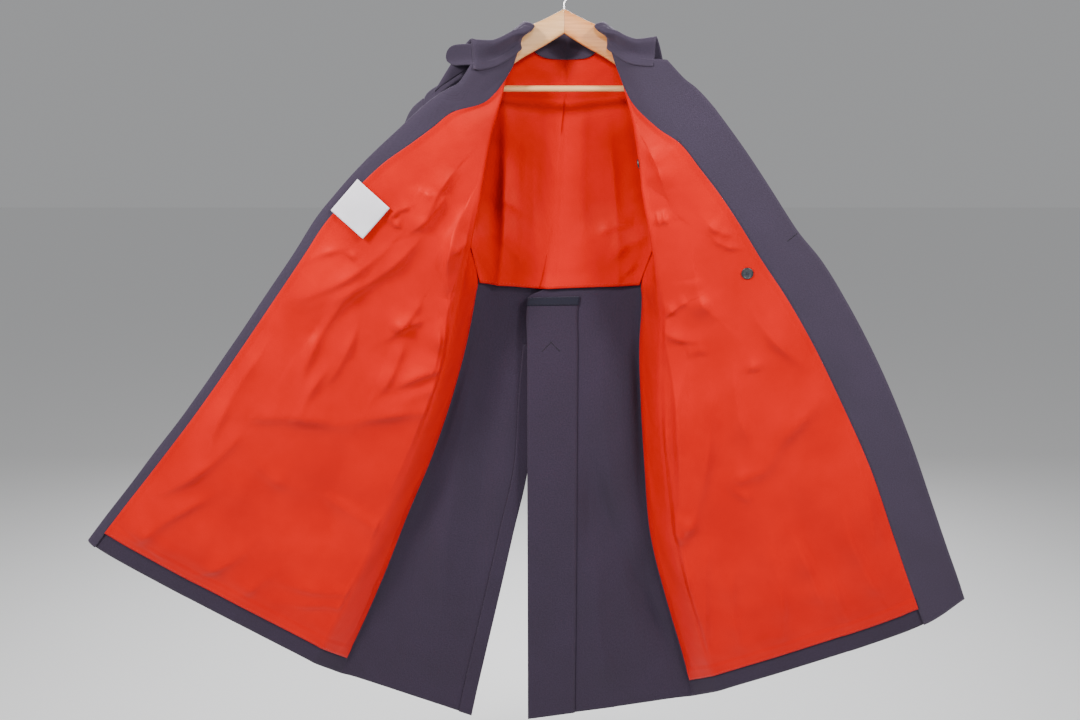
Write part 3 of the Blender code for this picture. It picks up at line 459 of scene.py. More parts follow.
BACK_FOLDS = {
    "right": (
        (440, 640, 482, 330, 0.03, 0.035, 0.0060),
        (478, 620, 508, 330, 0.03, 0.030, -0.0050),
        (400, 640, 450, 470, 0.03, 0.030, -0.0050),
    ),
    "left": (
        (680, 645, 588, 440, 0.06, 0.038, -0.0120),
        (640, 640, 600, 340, 0.03, 0.035, 0.0050),
        (612, 700, 596, 560, 0.03, 0.026, 0.0060),
        (655, 480, 640, 330, 0.03, 0.030, 0.0050),
    ),
}
BACK_LINING_FOLDS = (
    (552, 330, 571, 10, 0.01, 0.0045, 0.0034),
    (504, 104, 497, 290, 0.02, 0.011, 0.0150),
    (524, 110, 516, 290, 0.02, 0.012, 0.0020),
    (618, 292, 606, 110, -0.02, 0.013, 0.0030),
    (540, 287, 537, 100, 0.03, 0.012, 0.0020),
    (588, 287, 586, 100, 0.03, 0.012, 0.0022),
    (512, 150, 545, 105, 0.08, 0.010, 0.0018),
    (608, 262, 642, 240, 0.08, 0.009, 0.0045),
    (598, 236, 634, 226, 0.10, 0.008, 0.0035),
    (616, 282, 644, 262, 0.10, 0.009, 0.0040),
    (488, 232, 520, 262, 0.10, 0.010, 0.0035),
    (490, 198, 522, 214, 0.08, 0.009, 0.0030),
)


def fold_field(grid, folds, depth):
    """Height of the folds at each point of a grid."""
    x = grid[..., 0]
    z = grid[..., 2]
    total = np.zeros_like(x)
    for number, (px0, py0, px1, py1, bow, width, height) in enumerate(folds):
        start = seen(px0, py0, depth)
        end = seen(px1, py1, depth)
        way = end - start
        middle = 0.5 * (start + end) + 2.0 * bow * np.array((-way[1], way[0]))
        steps = np.linspace(0.0, 1.0, LINE_STEPS + 1)[:, None]
        line = (1 - steps)**2 * start + 2 * steps * (1 - steps) * middle + steps**2 * end
        nearest = np.full_like(x, FAR)
        along = np.zeros_like(x)
        side = np.zeros_like(x)
        for k in range(LINE_STEPS):
            run = line[k + 1] - line[k]
            dx = x - line[k][0]
            dz = z - line[k][1]
            t = np.clip((dx * run[0] + dz * run[1]) / np.dot(run, run), 0.0, 1.0)
            away = np.hypot(dx - t * run[0], dz - t * run[1])
            closer = away < nearest
            nearest = np.where(closer, away, nearest)
            along = np.where(closer, (k + t) / LINE_STEPS, along)
            side = np.where(closer, run[0] * dz - run[1] * dx, side)
        wide = width * np.where(side > 0, GENTLE, STEEP)
        shape = np.exp(-(nearest / wide)**CRISP)
        taper = np.sin(np.pi * np.clip(TAPER_START + TAPER_SPAN * along, 0.0, 1.0))**TAPER_POWER
        uneven = 1.0 + FOLD_UNEVEN * np.sin(FOLD_WAVES * along + FOLD_SHIFT * number)
        total += height * shape * taper * uneven
    return total


def rumple(grid, height, scale, seed):
    """Soft unevenness up to a height either way, at each point of a grid."""
    shift = Vector((seed, 2.0 * seed, 0.5 * seed))
    values = [noise.noise(Vector(point) * scale + shift) for point in grid.reshape(-1, 3)]
    return height * np.array(values).reshape(grid.shape[:2])


def ease(values, first, last):
    """0 before first, 1 after last, smooth between."""
    t = np.clip((values - first) / (last - first), 0.0, 1.0)
    return t * t * (3.0 - 2.0 * t)


def lengths(grid, axis):
    """Distance along a grid's rows or columns from its first line."""
    runs = np.linalg.norm(np.diff(grid, axis=axis), axis=2)
    start = np.zeros_like(np.take(runs, [0], axis=axis))
    return np.concatenate((start, np.cumsum(runs, axis=axis)), axis=axis)


def border_ease(grid, width, *sides):
    """0 at the named sides of a grid, 1 beyond the given width from them."""
    down = lengths(grid, 0)
    across = lengths(grid, 1)
    away = {"top": down, "bottom": down[-1:] - down, "first": across, "last": across[:, -1:] - across}
    return np.prod([ease(away[side], 0.0, width) for side in sides], axis=0)


def grid_mesh(name, grid):
    """Smooth mesh of a grid, with its cloth lengths in metres as UVs."""
    rows, columns = grid.shape[:2]
    index = np.arange(rows * columns).reshape(rows, columns)
    corners = (index[:-1, :-1], index[1:, :-1], index[1:, 1:], index[:-1, 1:])
    faces = np.stack(corners, axis=-1).reshape(-1, 4)
    mesh = bpy.data.meshes.new(name)
    mesh.from_pydata(grid.reshape(-1, 3).tolist(), [], faces.tolist())
    across = lengths(grid, 1).reshape(-1)
    down = lengths(grid, 0).reshape(-1)
    layer = mesh.uv_layers.new(name="cloth")
    corners = faces.reshape(-1)
    layer.data.foreach_set("uv", np.stack((across[corners], down[corners]), axis=1).reshape(-1))
    mesh.shade_smooth()
    return mesh


def add_piece(name, mesh, material, nodes=()):
    """Links a mesh as a piece of the coat."""
    item = bpy.data.objects.new(name, mesh)
    bpy.context.scene.collection.objects.link(item)
    item.data.materials.append(material)
    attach(item, "root")
    if nodes:
        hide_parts(*nodes)
    return item


def add_cloth(name, grid, thickness, material, node, other_side=None):
    """A thin cloth shell about a grid."""
    item = add_piece(name, grid_mesh(name, grid), material, [node])
    wall = item.modifiers.new("wall", "SOLIDIFY")
    wall.thickness = thickness
    wall.offset = 0.0
    wall.use_rim = True
    if other_side is not None:
        item.data.materials.append(other_side)
        wall.material_offset = 1


def new_material(name):
    """A material with its node tree and shader."""
    material = bpy.data.materials.new(name)
    material.use_nodes = True
    return material, material.node_tree, material.node_tree.nodes["Principled BSDF"]


def feed(tree, node, inputs):
    """Sets a node's inputs, each to a value or to the output that feeds it; returns the node."""
    for name, value in inputs.items():
        if isinstance(value, bpy.types.NodeSocket):
            tree.links.new(value, node.inputs[name])
        else:
            node.inputs[name].default_value = value
    return node


def add_node(tree, kind, inputs):
    """A shader node of a kind, with its inputs fed."""
    return feed(tree, tree.nodes.new(kind), inputs)


def mix_node(tree, data, blend, inputs):
    """The mix of two values or colours."""
    node = tree.nodes.new("ShaderNodeMix")
    node.data_type = data
    node.blend_type = blend
    return feed(tree, node, inputs).outputs["Result"]


def ramp_node(tree, value, *stops):
    """The colour of a value on a ramp of two stops, each a position and a colour."""
    node = add_node(tree, "ShaderNodeValToRGB", {"Fac": value})
    for element, (position, colour) in zip(node.color_ramp.elements, stops):
        element.position = position
        element.color = colour
    return node.outputs["Color"]


def finish_shader(tree, shader, tone, roughness, change, height, strength, distance):
    """Roughness that changes with the tone, and the relief of a height."""
    limits = {"Value": tone, "To Min": roughness - change, "To Max": roughness + change}
    rough = add_node(tree, "ShaderNodeMapRange", limits)
    relief = add_node(tree, "ShaderNodeBump", {"Strength": strength, "Distance": distance, "Height": height})
    feed(tree, shader, {"Roughness": rough.outputs["Result"], "Normal": relief.outputs["Normal"]})


WHITE = (1.0, 1.0, 1.0, 1.0)
# Twill weave: how the bands wander, how much fuzz covers them, and where the yarn's two colours lie
TWILL = {"Distortion": 1.2, "Detail": 2.0, "Detail Scale": 1.5}
WAVE_UNIT = 10.0
FUZZ_SCALE = 0.9
FUZZ_DETAIL = 4.0
FUZZ_SHARE = 0.88
YARN_STOPS = (0.25, 0.75)
TONE = {"Scale": 9.0, "Detail": 5.0}
TONE_STOPS = ((0.35, (0.86, 0.86, 0.86, 1.0)), (0.65, WHITE))
WORN = {"From Min": 0.52, "From Max": 0.62}
CLOTH_SHEEN_ROUGHNESS = 0.45
CLOTH_SPECULAR = 0.35
CLOTH_CHANGE = 0.06
CLOTH_RELIEF = 0.35


def cloth_material(name, colours, roughness, pitch, bump, sheen, sheen_tint, wear, gleam=WHITE):
    """Twill cloth: diagonal weave, fuzz, soft changes of tone and paler edges."""
    material, tree, shader = new_material(name)
    place = tree.nodes.new("ShaderNodeUVMap")
    place.uv_map = "cloth"
    at = {"Vector": place.outputs["UV"]}
    bands = 2.0 * math.pi / (WAVE_UNIT * pitch)
    twill = add_node(tree, "ShaderNodeTexWave", {**at, **TWILL, "Scale": bands})
    twill.wave_type = "BANDS"
    twill.bands_direction = "DIAGONAL"
    fuzz = add_node(tree, "ShaderNodeTexNoise", {**at, "Scale": FUZZ_SCALE / pitch, "Detail": FUZZ_DETAIL})
    tone = add_node(tree, "ShaderNodeTexNoise", {**at, **TONE}).outputs["Fac"]
    threads = {"Factor": FUZZ_SHARE, "A": twill.outputs["Fac"], "B": fuzz.outputs["Fac"]}
    weave = mix_node(tree, "FLOAT", "MIX", threads)
    yarn = ramp_node(tree, weave, *zip(YARN_STOPS, colours))
    shade = ramp_node(tree, tone, *TONE_STOPS)
    soft = mix_node(tree, "RGBA", "MULTIPLY", {"Factor": 1.0, "A": yarn, "B": shade})
    edges = tree.nodes.new("ShaderNodeNewGeometry")
    worn = add_node(
        tree, "ShaderNodeMapRange", {**WORN, "Value": edges.outputs["Pointiness"], "To Max": wear})
    paler = mix_node(tree, "RGBA", "MIX", {"Factor": worn.outputs["Result"], "A": soft, "B": colours[2]})
    feed(tree, shader, {
        "Base Color": paler, "Sheen Weight": sheen, "Sheen Roughness": CLOTH_SHEEN_ROUGHNESS,
        "Sheen Tint": sheen_tint, "Specular IOR Level": CLOTH_SPECULAR, "Specular Tint": gleam})
    finish_shader(tree, shader, tone, roughness, CLOTH_CHANGE, weave, bump, CLOTH_RELIEF * pitch)
    return material


GRAIN = {"Scale": 1.0, "Detail": 6.0, "Distortion": 0.6}
GRAIN_STOPS = (0.32, 0.68)
GRAIN_COAT_ROUGHNESS = 0.25
GRAIN_CHANGE = 0.08
GRAIN_BUMP = 0.12
GRAIN_RELIEF = 0.0004


def grain_material(name, pale, dark, roughness, stretch, coat, metallic=0.0):
    """Wood, wire or horn: a fine grain, scaled along each axis."""
    material, tree, shader = new_material(name)
    place = tree.nodes.new("ShaderNodeTexCoord")
    along = add_node(tree, "ShaderNodeMapping", {"Vector": place.outputs["Object"], "Scale": stretch})
    grain = add_node(tree, "ShaderNodeTexNoise", {**GRAIN, "Vector": along.outputs["Vector"]}).outputs["Fac"]
    feed(tree, shader, {
        "Base Color": ramp_node(tree, grain, *zip(GRAIN_STOPS, (dark, pale))), "Metallic": metallic,
        "Coat Weight": coat, "Coat Roughness": GRAIN_COAT_ROUGHNESS})
    finish_shader(tree, shader, grain, roughness, GRAIN_CHANGE, grain, GRAIN_BUMP, GRAIN_RELIEF)
    return material


WOOL_CLOTH = cloth_material(
    "wool_twill", ((0.024, 0.016, 0.033, 1), (0.039, 0.028, 0.052, 1), (0.062, 0.048, 0.076, 1)),
    0.90, 0.0021, 0.30, 0.12, (0.76, 0.64, 0.90, 1), 0.30)
WOOL_INSIDE = cloth_material(
    "wool_wrong_side", ((0.017, 0.010, 0.024, 1), (0.031, 0.020, 0.042, 1), (0.044, 0.032, 0.055, 1)),
    0.92, 0.0024, 0.40, 0.08, (0.78, 0.72, 0.85, 1), 0.20)
LINING_CLOTH = cloth_material(
    "lining_satin", ((0.48, 0.0022, 0.0016, 1), (0.60, 0.0040, 0.0026, 1), (0.70, 0.012, 0.008, 1)),
    0.46, 0.0009, 0.10, 0.0, (1.0, 0.40, 0.30, 1), 0.10, (1.0, 0.16, 0.10, 1))
TAPE_CLOTH = cloth_material(
    "tape_rib", ((0.002, 0.002, 0.009, 1), (0.006, 0.006, 0.021, 1), (0.014, 0.014, 0.032, 1)),
    0.78, 0.0014, 0.70, 0.02, (0.7, 0.7, 0.9, 1), 0.20)
LABEL_CLOTH = cloth_material(
    "label_cloth", ((0.70, 0.69, 0.76, 1), (0.84, 0.83, 0.88, 1), (0.90, 0.89, 0.92, 1)),
    0.62, 0.0008, 0.25, 0.05, (1, 1, 1, 1), 0.10)
THREAD_DARK = cloth_material(
    "thread_dark", ((0.006, 0.004, 0.008, 1), (0.015, 0.011, 0.020, 1), (0.030, 0.025, 0.037, 1)),
    0.80, 0.0004, 0.40, 0.04, (0.8, 0.8, 0.9, 1), 0.10)
THREAD_RED = cloth_material(
    "thread_red", ((0.42, 0.012, 0.008, 1), (0.66, 0.026, 0.016, 1), (0.75, 0.06, 0.04, 1)),
    0.55, 0.0004, 0.40, 0.10, (1, 0.7, 0.6, 1), 0.10)
THREAD_PALE = cloth_material(
    "thread_pale", ((0.50, 0.49, 0.54, 1), (0.68, 0.67, 0.72, 1), (0.8, 0.8, 0.82, 1)),
    0.60, 0.0004, 0.40, 0.05, (1, 1, 1, 1), 0.10)
BEECH_PALE = grain_material(
    "beech_pale", (0.72, 0.41, 0.18, 1), (0.58, 0.30, 0.11, 1), 0.42, (14.0, 260.0, 260.0), 0.15)
BEECH_WARM = grain_material(
    "beech_warm", (0.68, 0.29, 0.09, 1), (0.52, 0.19, 0.05, 1), 0.42, (14.0, 260.0, 260.0), 0.15)
STEEL = grain_material(
    "bright_wire", (0.66, 0.66, 0.67, 1), (0.46, 0.46, 0.47, 1), 0.28, (300.0, 300.0, 60.0), 0.0, 1.0)
HORN = grain_material(
    "button_black", (0.020, 0.020, 0.023, 1), (0.006, 0.006, 0.007, 1), 0.34, (240.0, 240.0, 240.0), 0.2)
HORN_CENTRE = grain_material(
    "button_centre", (0.034, 0.040, 0.052, 1), (0.016, 0.019, 0.026, 1), 0.40, (300.0, 300.0, 300.0), 0.1)


LINING_GAP = 0.0012
LOOSE = 0.0036
LEAST_LIFT = 0.0004
SEAM_LIFT = 0.0014
HEM_TURN = 0.0012
HEM_DEPTH = 0.020
HEM_STEP = 0.003
LINING_START = 2.0
# Where the linings' side edges lie, inside the side and shoulder seams
LINING_EDGE = 0.24
BACK_LINING_EDGE = 2.90
# How far seams and the top of the vent lap under, in places along the keys
SEAM_LAP = 0.06
VENT_LAP = 0.30
VENT_LAP_ROWS = (7, 10)
LAP_LIFT = 0.0008
# Unevenness of the cloth: height, scale, seed
FRONT_UNEVEN = (0.0009, 11.0, 3.0)
BACK_UNEVEN = (0.0010, 9.0, 5.0)
LINING_CRUMPLE = (0.0011, 18.0, 7.0)
LINING_CRINKLE = (0.0005, 55.0, 9.0)
BACK_LINING_CRUMPLE = (0.0010, 16.0, 4.0)
BACK_LINING_CRINKLE = (0.0004, 50.0, 6.0)
SLEEVE_UNEVEN = (0.0022, 16.0, 8.0)
COLLAR_UNEVEN = (0.0012, 22.0, 2.0)
# Spans of places over which a form grows to its full height
FRONT_FOLD_SPAN = (3.2, 4.4)
FRONT_UNEVEN_SPAN = (3.0, 4.2)
LINING_FOLD_SPAN = (3.1, 3.9)
LINING_SEAM_SPAN = (3.5, 4.0)
STRIP_SPAN = (0.98, 1.25)
# Spans of places over which the backs' folds, unevenness and lap die away
BACK_FOLD_END = (2.1, 2.9)
BACK_UNEVEN_END = (2.4, 3.0)
LAP_SPAN = (-0.04, 0.0)
# How far below the origin the backs' folds start
BACK_FOLD_DROP = (0.52, 0.62)
# Widths along the linings' borders over which they come loose or rise to a seam
LOOSE_BORDER = 0.045
SIDE_BORDER = 0.018
SEAM_BORDER = 0.012
BACK_BORDER = 0.030
# Share of the looseness that is left at the borders
LINING_HELD = 0.12
BACK_LINING_HELD = 0.15
# The back lining's own looseness, nearness to the viewer and hem
BACK_LOOSE = 0.0024
BACK_LINING_NEARER = 0.01
BACK_HEM_DEPTH = 0.030
BACK_HEM_LIFT = 0.0030
# A facing's first columns end just past its seam
FACING_SEAM = 5.001
LINING_HEM_COLUMN = 14
LINING_FACE_COLUMN = 34
STRIP_GAP = 0.0003
TAPE_GAP = 0.0008
TAPE_PAST = 0.01
TAPE = 0.0010


def front_folds(side, grid, places):
    """Broad folds that the wool, facing and lining of a front share."""
    return fold_field(grid, FRONT_FOLDS[side], FRONT_DEPTH) * ease(places, *FRONT_FOLD_SPAN)


def front_lift(side, grid, places):
    """Folds and unevenness of a front's wool, which its lining follows."""
    uneven = rumple(grid, *FRONT_UNEVEN) * ease(places, *FRONT_UNEVEN_SPAN)
    return front_folds(side, grid, places) + uneven


def lining_reach(side):
    """How far across each row of a front its lining reaches, as a place along the keys."""
    first = list(LINING_REACH[side])
    return first + [SEAM_KEY] * (len(FRONT[side]) - len(first))


def dress_front(side):
    """Wool, facing and lining of one front; returns the lining's and facing's seen points."""
    rows = front_keys(side)
    sign = SIGN[side]
    edge = [(5, 6, 14)]
    if len(rows[0]) > EDGE_KEY + 1:
        edge += [(6, 7, 12), (7, 8, 6)]
    body = [(-SEAM_LAP, 1, 7), (1, 2, 12), (2, 3, 8), (3, 4, 8), (4, 5, 40)]
    grid, places = panel(rows, spread(*body, *edge), ROW_STEPS)
    wool = moved_out(grid, sign * (front_lift(side, grid, places) - WOOL / 2))
    sides = (WOOL_INSIDE, WOOL_CLOTH) if side == "left" else (WOOL_CLOTH, WOOL_INSIDE)
    add_cloth(f"front_{side}_wool", wool, WOOL, sides[0], f"front_{side}", sides[1])
    reach = lining_reach(side)
    grid, places = panel(rows, [spread((start, FACING_SEAM, 24), *edge) for start in reach], ROW_STEPS)
    lift = front_folds(side, grid, places) + rumple(grid, *FRONT_UNEVEN)
    facing = moved_out(grid, sign * (lift + LINING_GAP + FACING / 2))
    add_cloth(f"facing_{side}_wool", facing, FACING, WOOL_CLOTH, f"facing_{side}")
    whole = spread((LINING_EDGE, 1, 6), (1, 2, 10), (2, 3, 8), (3, 4, 10), (4, SEAM_KEY, 108))
    starts = []
    for end in reach:
        stretch = (end - LINING_START) / (SEAM_KEY - LINING_START)
        starts.append(np.where(whole > LINING_START, LINING_START + (whole - LINING_START) * stretch, whole))
    grid, places = panel(rows, starts, LINING_ROW_STEPS, 0, LINING_HEM_ROW + 1)
    folds = fold_field(grid, LINING_FOLDS[side], FRONT_DEPTH) * ease(places, *LINING_FOLD_SPAN)
    folds *= FOLD_GAIN
    folds += rumple(grid, *LINING_CRUMPLE) + rumple(grid, *LINING_CRINKLE)
    loose = border_ease(grid, LOOSE_BORDER, "top", "bottom", "last") * border_ease(grid, SIDE_BORDER, "first")
    lift = np.maximum((LOOSE + folds) * (LINING_HELD + (1.0 - LINING_HELD) * loose), LEAST_LIFT)
    above_hem = lengths(grid, 0)
    above_hem = above_hem[-1:] - above_hem
    lift += HEM_TURN * (1.0 - ease(above_hem, HEM_DEPTH, HEM_DEPTH + HEM_STEP))
    lift += SEAM_LIFT * (1.0 - border_ease(grid, SEAM_BORDER, "last")) * ease(places, *LINING_SEAM_SPAN)
    lining = moved_out(grid, sign * (front_lift(side, grid, places) + LINING_GAP + lift))
    add_cloth(
        f"front_lining_{side}_satin", lining, LINING, LINING_CLOTH, f"front_lining_{side}")
    hem_stitches(f"lining_hem_{side}", lining[-3:, LINING_HEM_COLUMN:], sign, THREAD_RED, "lining")
    return lining[:, LINING_FACE_COLUMN:], facing


def dress_back(side):
    """Wool of one back and the facing of its vent edge; returns the wool's grid."""
    rows = back_keys(side)
    starts = []
    for row in range(len(rows)):
        lap = 0.0
        if side == "right" and row <= VENT_LAP_ROWS[1]:
            lap = VENT_LAP if row >= VENT_LAP_ROWS[0] else SEAM_LAP
        starts.append(spread((-lap, 1, 12), (1, 2, 34), (2, 3 + SEAM_LAP, 9)))
    grid, places = panel(rows, starts, ROW_STEPS)
    if side == "right":
        grid = grid[:, ::-1]
        places = places[:, ::-1]
    weight = ease(places, *STRIP_SPAN) * ease(-grid[..., 2], *BACK_FOLD_DROP)
    weight *= 1.0 - ease(places, *BACK_FOLD_END)
    lift = BACK_FOLD_GAIN * fold_field(grid, BACK_FOLDS[side], BACK_DEPTH) * weight
    lift += rumple(grid, *BACK_UNEVEN) * (1.0 - ease(places, *BACK_UNEVEN_END))
    lift += LAP_LIFT * (1.0 - ease(places, *LAP_SPAN))
    wool = moved_out(grid, lift - WOOL / 2)
    add_cloth(f"back_{side}_wool", wool, WOOL, WOOL_INSIDE, f"back_{side}", WOOL_CLOTH)
    first = TAPE_ROWS[0] if side == "left" else TAPE_ROWS[1] + 1
    strip = panel(rows, spread((0, 1, 14)), ROW_STEPS, first)[0]
    if side == "right":
        strip = strip[:, ::-1]
    strip = moved_out(strip, rumple(strip, *BACK_UNEVEN) + STRIP_GAP + FACING / 2)
    add_cloth(
        f"vent_facing_{side}_wool", strip, FACING, WOOL_INSIDE, f"vent_facing_{side}")
    if side == "left":
        across = spread((-TAPE_PAST, 1.0 + TAPE_PAST, 20))
        tape = panel(rows, across, ROW_STEPS, TAPE_ROWS[0], TAPE_ROWS[1] + 1)[0]
        tape = moved_out(tape, rumple(tape, *BACK_UNEVEN) + TAPE_GAP + FACING)
        add_cloth("vent_tape_rib", tape, TAPE, TAPE_CLOTH, "vent_tape")
        hem_stitches("tape_stitches_lower", tape[-3:], 1.0, THREAD_DARK, "tape")
        hem_stitches("tape_stitches_upper", tape[2::-1], -1.0, THREAD_DARK, "tape")
        hem_stitches("vent_stitches", strip[:, -3:].transpose(1, 0, 2), -1.0, THREAD_DARK, "facing_wool")
    return wool


def dress_back_lining():
    """Half lining across both backs, with the pleat down its centre."""
    places = spread((0, 1, 16), (1, 2, 40), (2, BACK_LINING_EDGE, 8))
    halves = {side: panel(back_keys(side), places, LINING_ROW_STEPS, 0, WAIST_ROW + 1)[0] for side in SIGN}
    grid = np.concatenate((halves["right"][:, :0:-1], halves["left"]), axis=1)
    folds = fold_field(grid, BACK_LINING_FOLDS, BACK_DEPTH - BACK_LINING_NEARER)
    folds += rumple(grid, *BACK_LINING_CRUMPLE) + rumple(grid, *BACK_LINING_CRINKLE)
    loose = border_ease(grid, BACK_BORDER, "top", "first", "last")
    loose = BACK_LINING_HELD + (1.0 - BACK_LINING_HELD) * loose
    lift = np.maximum((BACK_LOOSE + folds) * loose, LEAST_LIFT) + LINING_GAP
    lift += BACK_HEM_LIFT * ease(grid[..., 2], grid[-1:, :, 2] + BACK_HEM_DEPTH, grid[-1:, :, 2])
    lining = moved_out(grid, lift)
    add_cloth(
        "back_lining_satin", lining, LINING, LINING_CLOTH, "back_lining")
    hem_stitches("back_lining_hem", lining[-3:], 1.0, THREAD_RED, "lining")


SLEEVE_LAP = 0.0004
SLEEVE_STEPS = 10
TUCK_DEPTH = 0.008
TUCK_NARROW = 0.006
STITCH_PITCH = 0.0062
STITCH_LENGTH = 0.0036
STITCH_THICK = 0.00045
STITCH_SIDES = 6
STITCH_LIFT = 0.7
SLEEVE_COLUMNS = 44
SLEEVE_TURN_LAP = 0.5
SLEEVE_LINING_GAP = 0.0016
# Folds of a hanging sleeve: where they lie about the elbow, their height, number and slant
ELBOW = 0.56
ELBOW_REACH = 0.16
ELBOW_SHARE = 0.4
ELBOW_TURN = 2.4
ELBOW_FOLD = 0.0032
ELBOW_WAVES = 60.0
ELBOW_SLANT = 2.0
ELBOW_SHIFT = 0.7
SLEEVE_UNEVEN_SPAN = (0.10, 0.30)


def turns(count):
    """Angles of evenly spaced places round a circle."""
    return [2.0 * math.pi * k / count for k in range(count)]


def smooth_mesh(name, shape):
    """Smooth mesh of a finished shape."""
    mesh = bpy.data.meshes.new(name)
    shape.to_mesh(mesh)
    shape.free()
    mesh.shade_smooth()
    return mesh


def add_stitches(name, places, ways, normals, material, slot, length=STITCH_LENGTH, thick=STITCH_THICK):
    """One mesh of short spindle-shaped stitches, each along its way."""
    shape = bmesh.new()
    for place, way, normal in zip(places, ways, normals):
        across = np.cross(way, normal)
        ends = [shape.verts.new(place + way * length * end) for end in (-0.5, 0.5)]
        ring = []
        for turn in turns(STITCH_SIDES):
            ring.append(shape.verts.new(place + (across * math.cos(turn) + normal * math.sin(turn)) * thick))
        for k in range(STITCH_SIDES):
            shape.faces.new((ends[1], ring[k - 1], ring[k]))
            shape.faces.new((ends[0], ring[k], ring[k - 1]))
    mesh = smooth_mesh(name, shape)
    mesh.uv_layers.new(name="cloth")
    add_piece(name, mesh, material)


def hem_stitches(name, band, sign, material, slot, pitch=STITCH_PITCH):
    """A row of stitches along the middle line of a narrow band of grid points."""
    line = band[1]
    run = running(np.linalg.norm(np.diff(line, axis=0), axis=1))
    stops = np.arange(pitch, run[-1], pitch)
    places = points_at(stops, run, line)
    facing = unit(points_at(stops, run, grid_normals(band)[1] * sign))
    ways = unit(np.gradient(places, axis=0))
    add_stitches(name, places + facing * LINING * STITCH_LIFT, ways, facing, material, slot)


def panel_borders(side):
    """Dense outer borders of a front and a back, from the neck to the hem."""
    front = panel(front_keys(side), np.arange(0.0, 7.0), ROW_STEPS)[0][:, 0]
    back = panel(back_keys(side), np.arange(0.0, 4.0), ROW_STEPS)[0][:, -1]
    return front, back


BORDERS = {side: panel_borders(side) for side in SIGN}


def armhole_point(side, angle):
    """Point of the armhole; 0 is the shoulder, -90 the front, 90 the back."""
    border = BORDERS[side][0 if angle <= 0 else 1]
    rows = np.arange(SHOULDER_TIP_ROW, UNDERARM_ROW + 1) * ROW_STEPS
    place = np.interp(abs(angle), ARMHOLE_TURNS, rows)
    return points_at(place, range(len(border)), border) + np.array((SIGN[side] * ARMHOLE_STEP, 0.0, 0.0))


def sleeve_point(side, index, angle):
    """Point of one ring of a sleeve."""
    if index == 0:
        return armhole_point(side, angle if angle <= 180.0 else angle - 360.0)
    x_out, z_out, x_in, z_in, y_front, y_back = SLEEVE[index - 1]
    turn = math.radians(angle)
    out = 0.5 + 0.5 * math.cos(turn)
    x = x_in + (x_out - x_in) * out
    z = z_in + (z_out - z_in) * out
    y = 0.5 * (y_front + y_back) + 0.5 * (y_back - y_front) * math.sin(turn)
    return np.array((SIGN[side] * x, y, z))


def sleeve_grid(side, first, last, steps, rows, offset):
    """Dense grid of part of a sleeve, moved inside by offset, with the folds of a hanging sleeve."""
    angles = np.linspace(first, last, steps)
    grid = np.array([[sleeve_point(side, i, a) for a in angles] for i in rows])
    grid = smooth_rows(grid, SLEEVE_STEPS)
    down = np.linspace(0.0, 1.0, grid.shape[0])[:, None]
    turn = np.radians(angles)[None, :]
    elbow = np.exp(-((down - ELBOW) / ELBOW_REACH)**2)
    elbow = elbow * (ELBOW_SHARE + (1.0 - ELBOW_SHARE) * np.cos(turn + ELBOW_TURN))
    folds = ELBOW_FOLD * elbow * np.sin(ELBOW_WAVES * down + ELBOW_SLANT * np.sin(turn + ELBOW_SHIFT))
    folds += rumple(grid, *SLEEVE_UNEVEN) * ease(down, *SLEEVE_UNEVEN_SPAN)
    return moved_out(grid, -SIGN[side] * (offset - folds))


def tucked(side, grid):
    """A sleeve's grid with its upper end carried on inside the armhole, as a seam allowance."""
    middle = 0.5 * (armhole_point(side, 0.0) + armhole_point(side, 180.0))
    inner = grid[0] + unit(middle - grid[0]) * TUCK_NARROW - np.array((SIGN[side] * TUCK_DEPTH, 0.0, 0.0))
    return np.concatenate(([inner, 0.5 * (inner + grid[0])], grid))


def dress_sleeve(side):
    """Top and under sleeve, and the right sleeve's lining."""
    rows = range(len(SLEEVE) + 1)
    lap = SLEEVE_TURN_LAP
    top = tucked(side, sleeve_grid(side, -90.0 - lap, 90.0 + lap, SLEEVE_COLUMNS, rows, -WOOL / 2))
    add_cloth(f"top_sleeve_{side}_wool", top, WOOL, WOOL_CLOTH, f"top_sleeve_{side}")
    inner = -WOOL / 2 + SLEEVE_LAP
    under = tucked(side, sleeve_grid(side, 90.0 - lap, 270.0 + lap, SLEEVE_COLUMNS, rows, inner))
    add_cloth(f"under_sleeve_{side}_wool", under, WOOL, WOOL_CLOTH, f"under_sleeve_{side}")
    hem_stitches(f"cuff_stitches_{side}", top[-7:-4], SIGN[side], THREAD_DARK, "wool")
    if side == "right":
        lining = sleeve_grid(side, -180.0, 180.0, 2 * SLEEVE_COLUMNS, rows, SLEEVE_LINING_GAP)
        add_cloth(
            "sleeve_lining_right_satin", lining[SLEEVE_STEPS:-SLEEVE_STEPS], LINING, LINING_CLOTH,
            "sleeve_lining_right")


# Collar: place, rise, lean_x, lean_y, out_x, out_y, fall_back, fall_drop, cover
COLLAR = (
    (0.00, 0.046, 0.000, 0.010, 0.00, 1.00, 0.014, 0.048, 0.002),
    (1.25, 0.036, 0.004, 0.008, 0.30, 0.95, 0.014, 0.040, 0.002),
    (2.00, 0.010, -0.008, 0.002, 0.80, 0.60, 0.018, 0.014, 0.003),
    (3.00, 0.005, -0.014, -0.006, 0.95, 0.30, 0.022, 0.008, 0.004),
    (4.00, 0.007, -0.016, -0.014, 0.95, 0.20, 0.024, 0.009, 0.006),
    (6.00, 0.012, -0.010, -0.012, 0.80, 0.30, 0.018, 0.010, 0.010),
    (8.00, 0.018, 0.000, -0.010, 0.30, 0.95, 0.014, 0.013, 0.012),
    (9.00, 0.029, 0.002, -0.006, 0.20, 0.98, 0.016, 0.030, 0.012),
)
COLLAR_STAND = 0.0042
COVER_LIFT = 0.0046
COLLAR_END = {"right": 6.0, "left": 5.62}
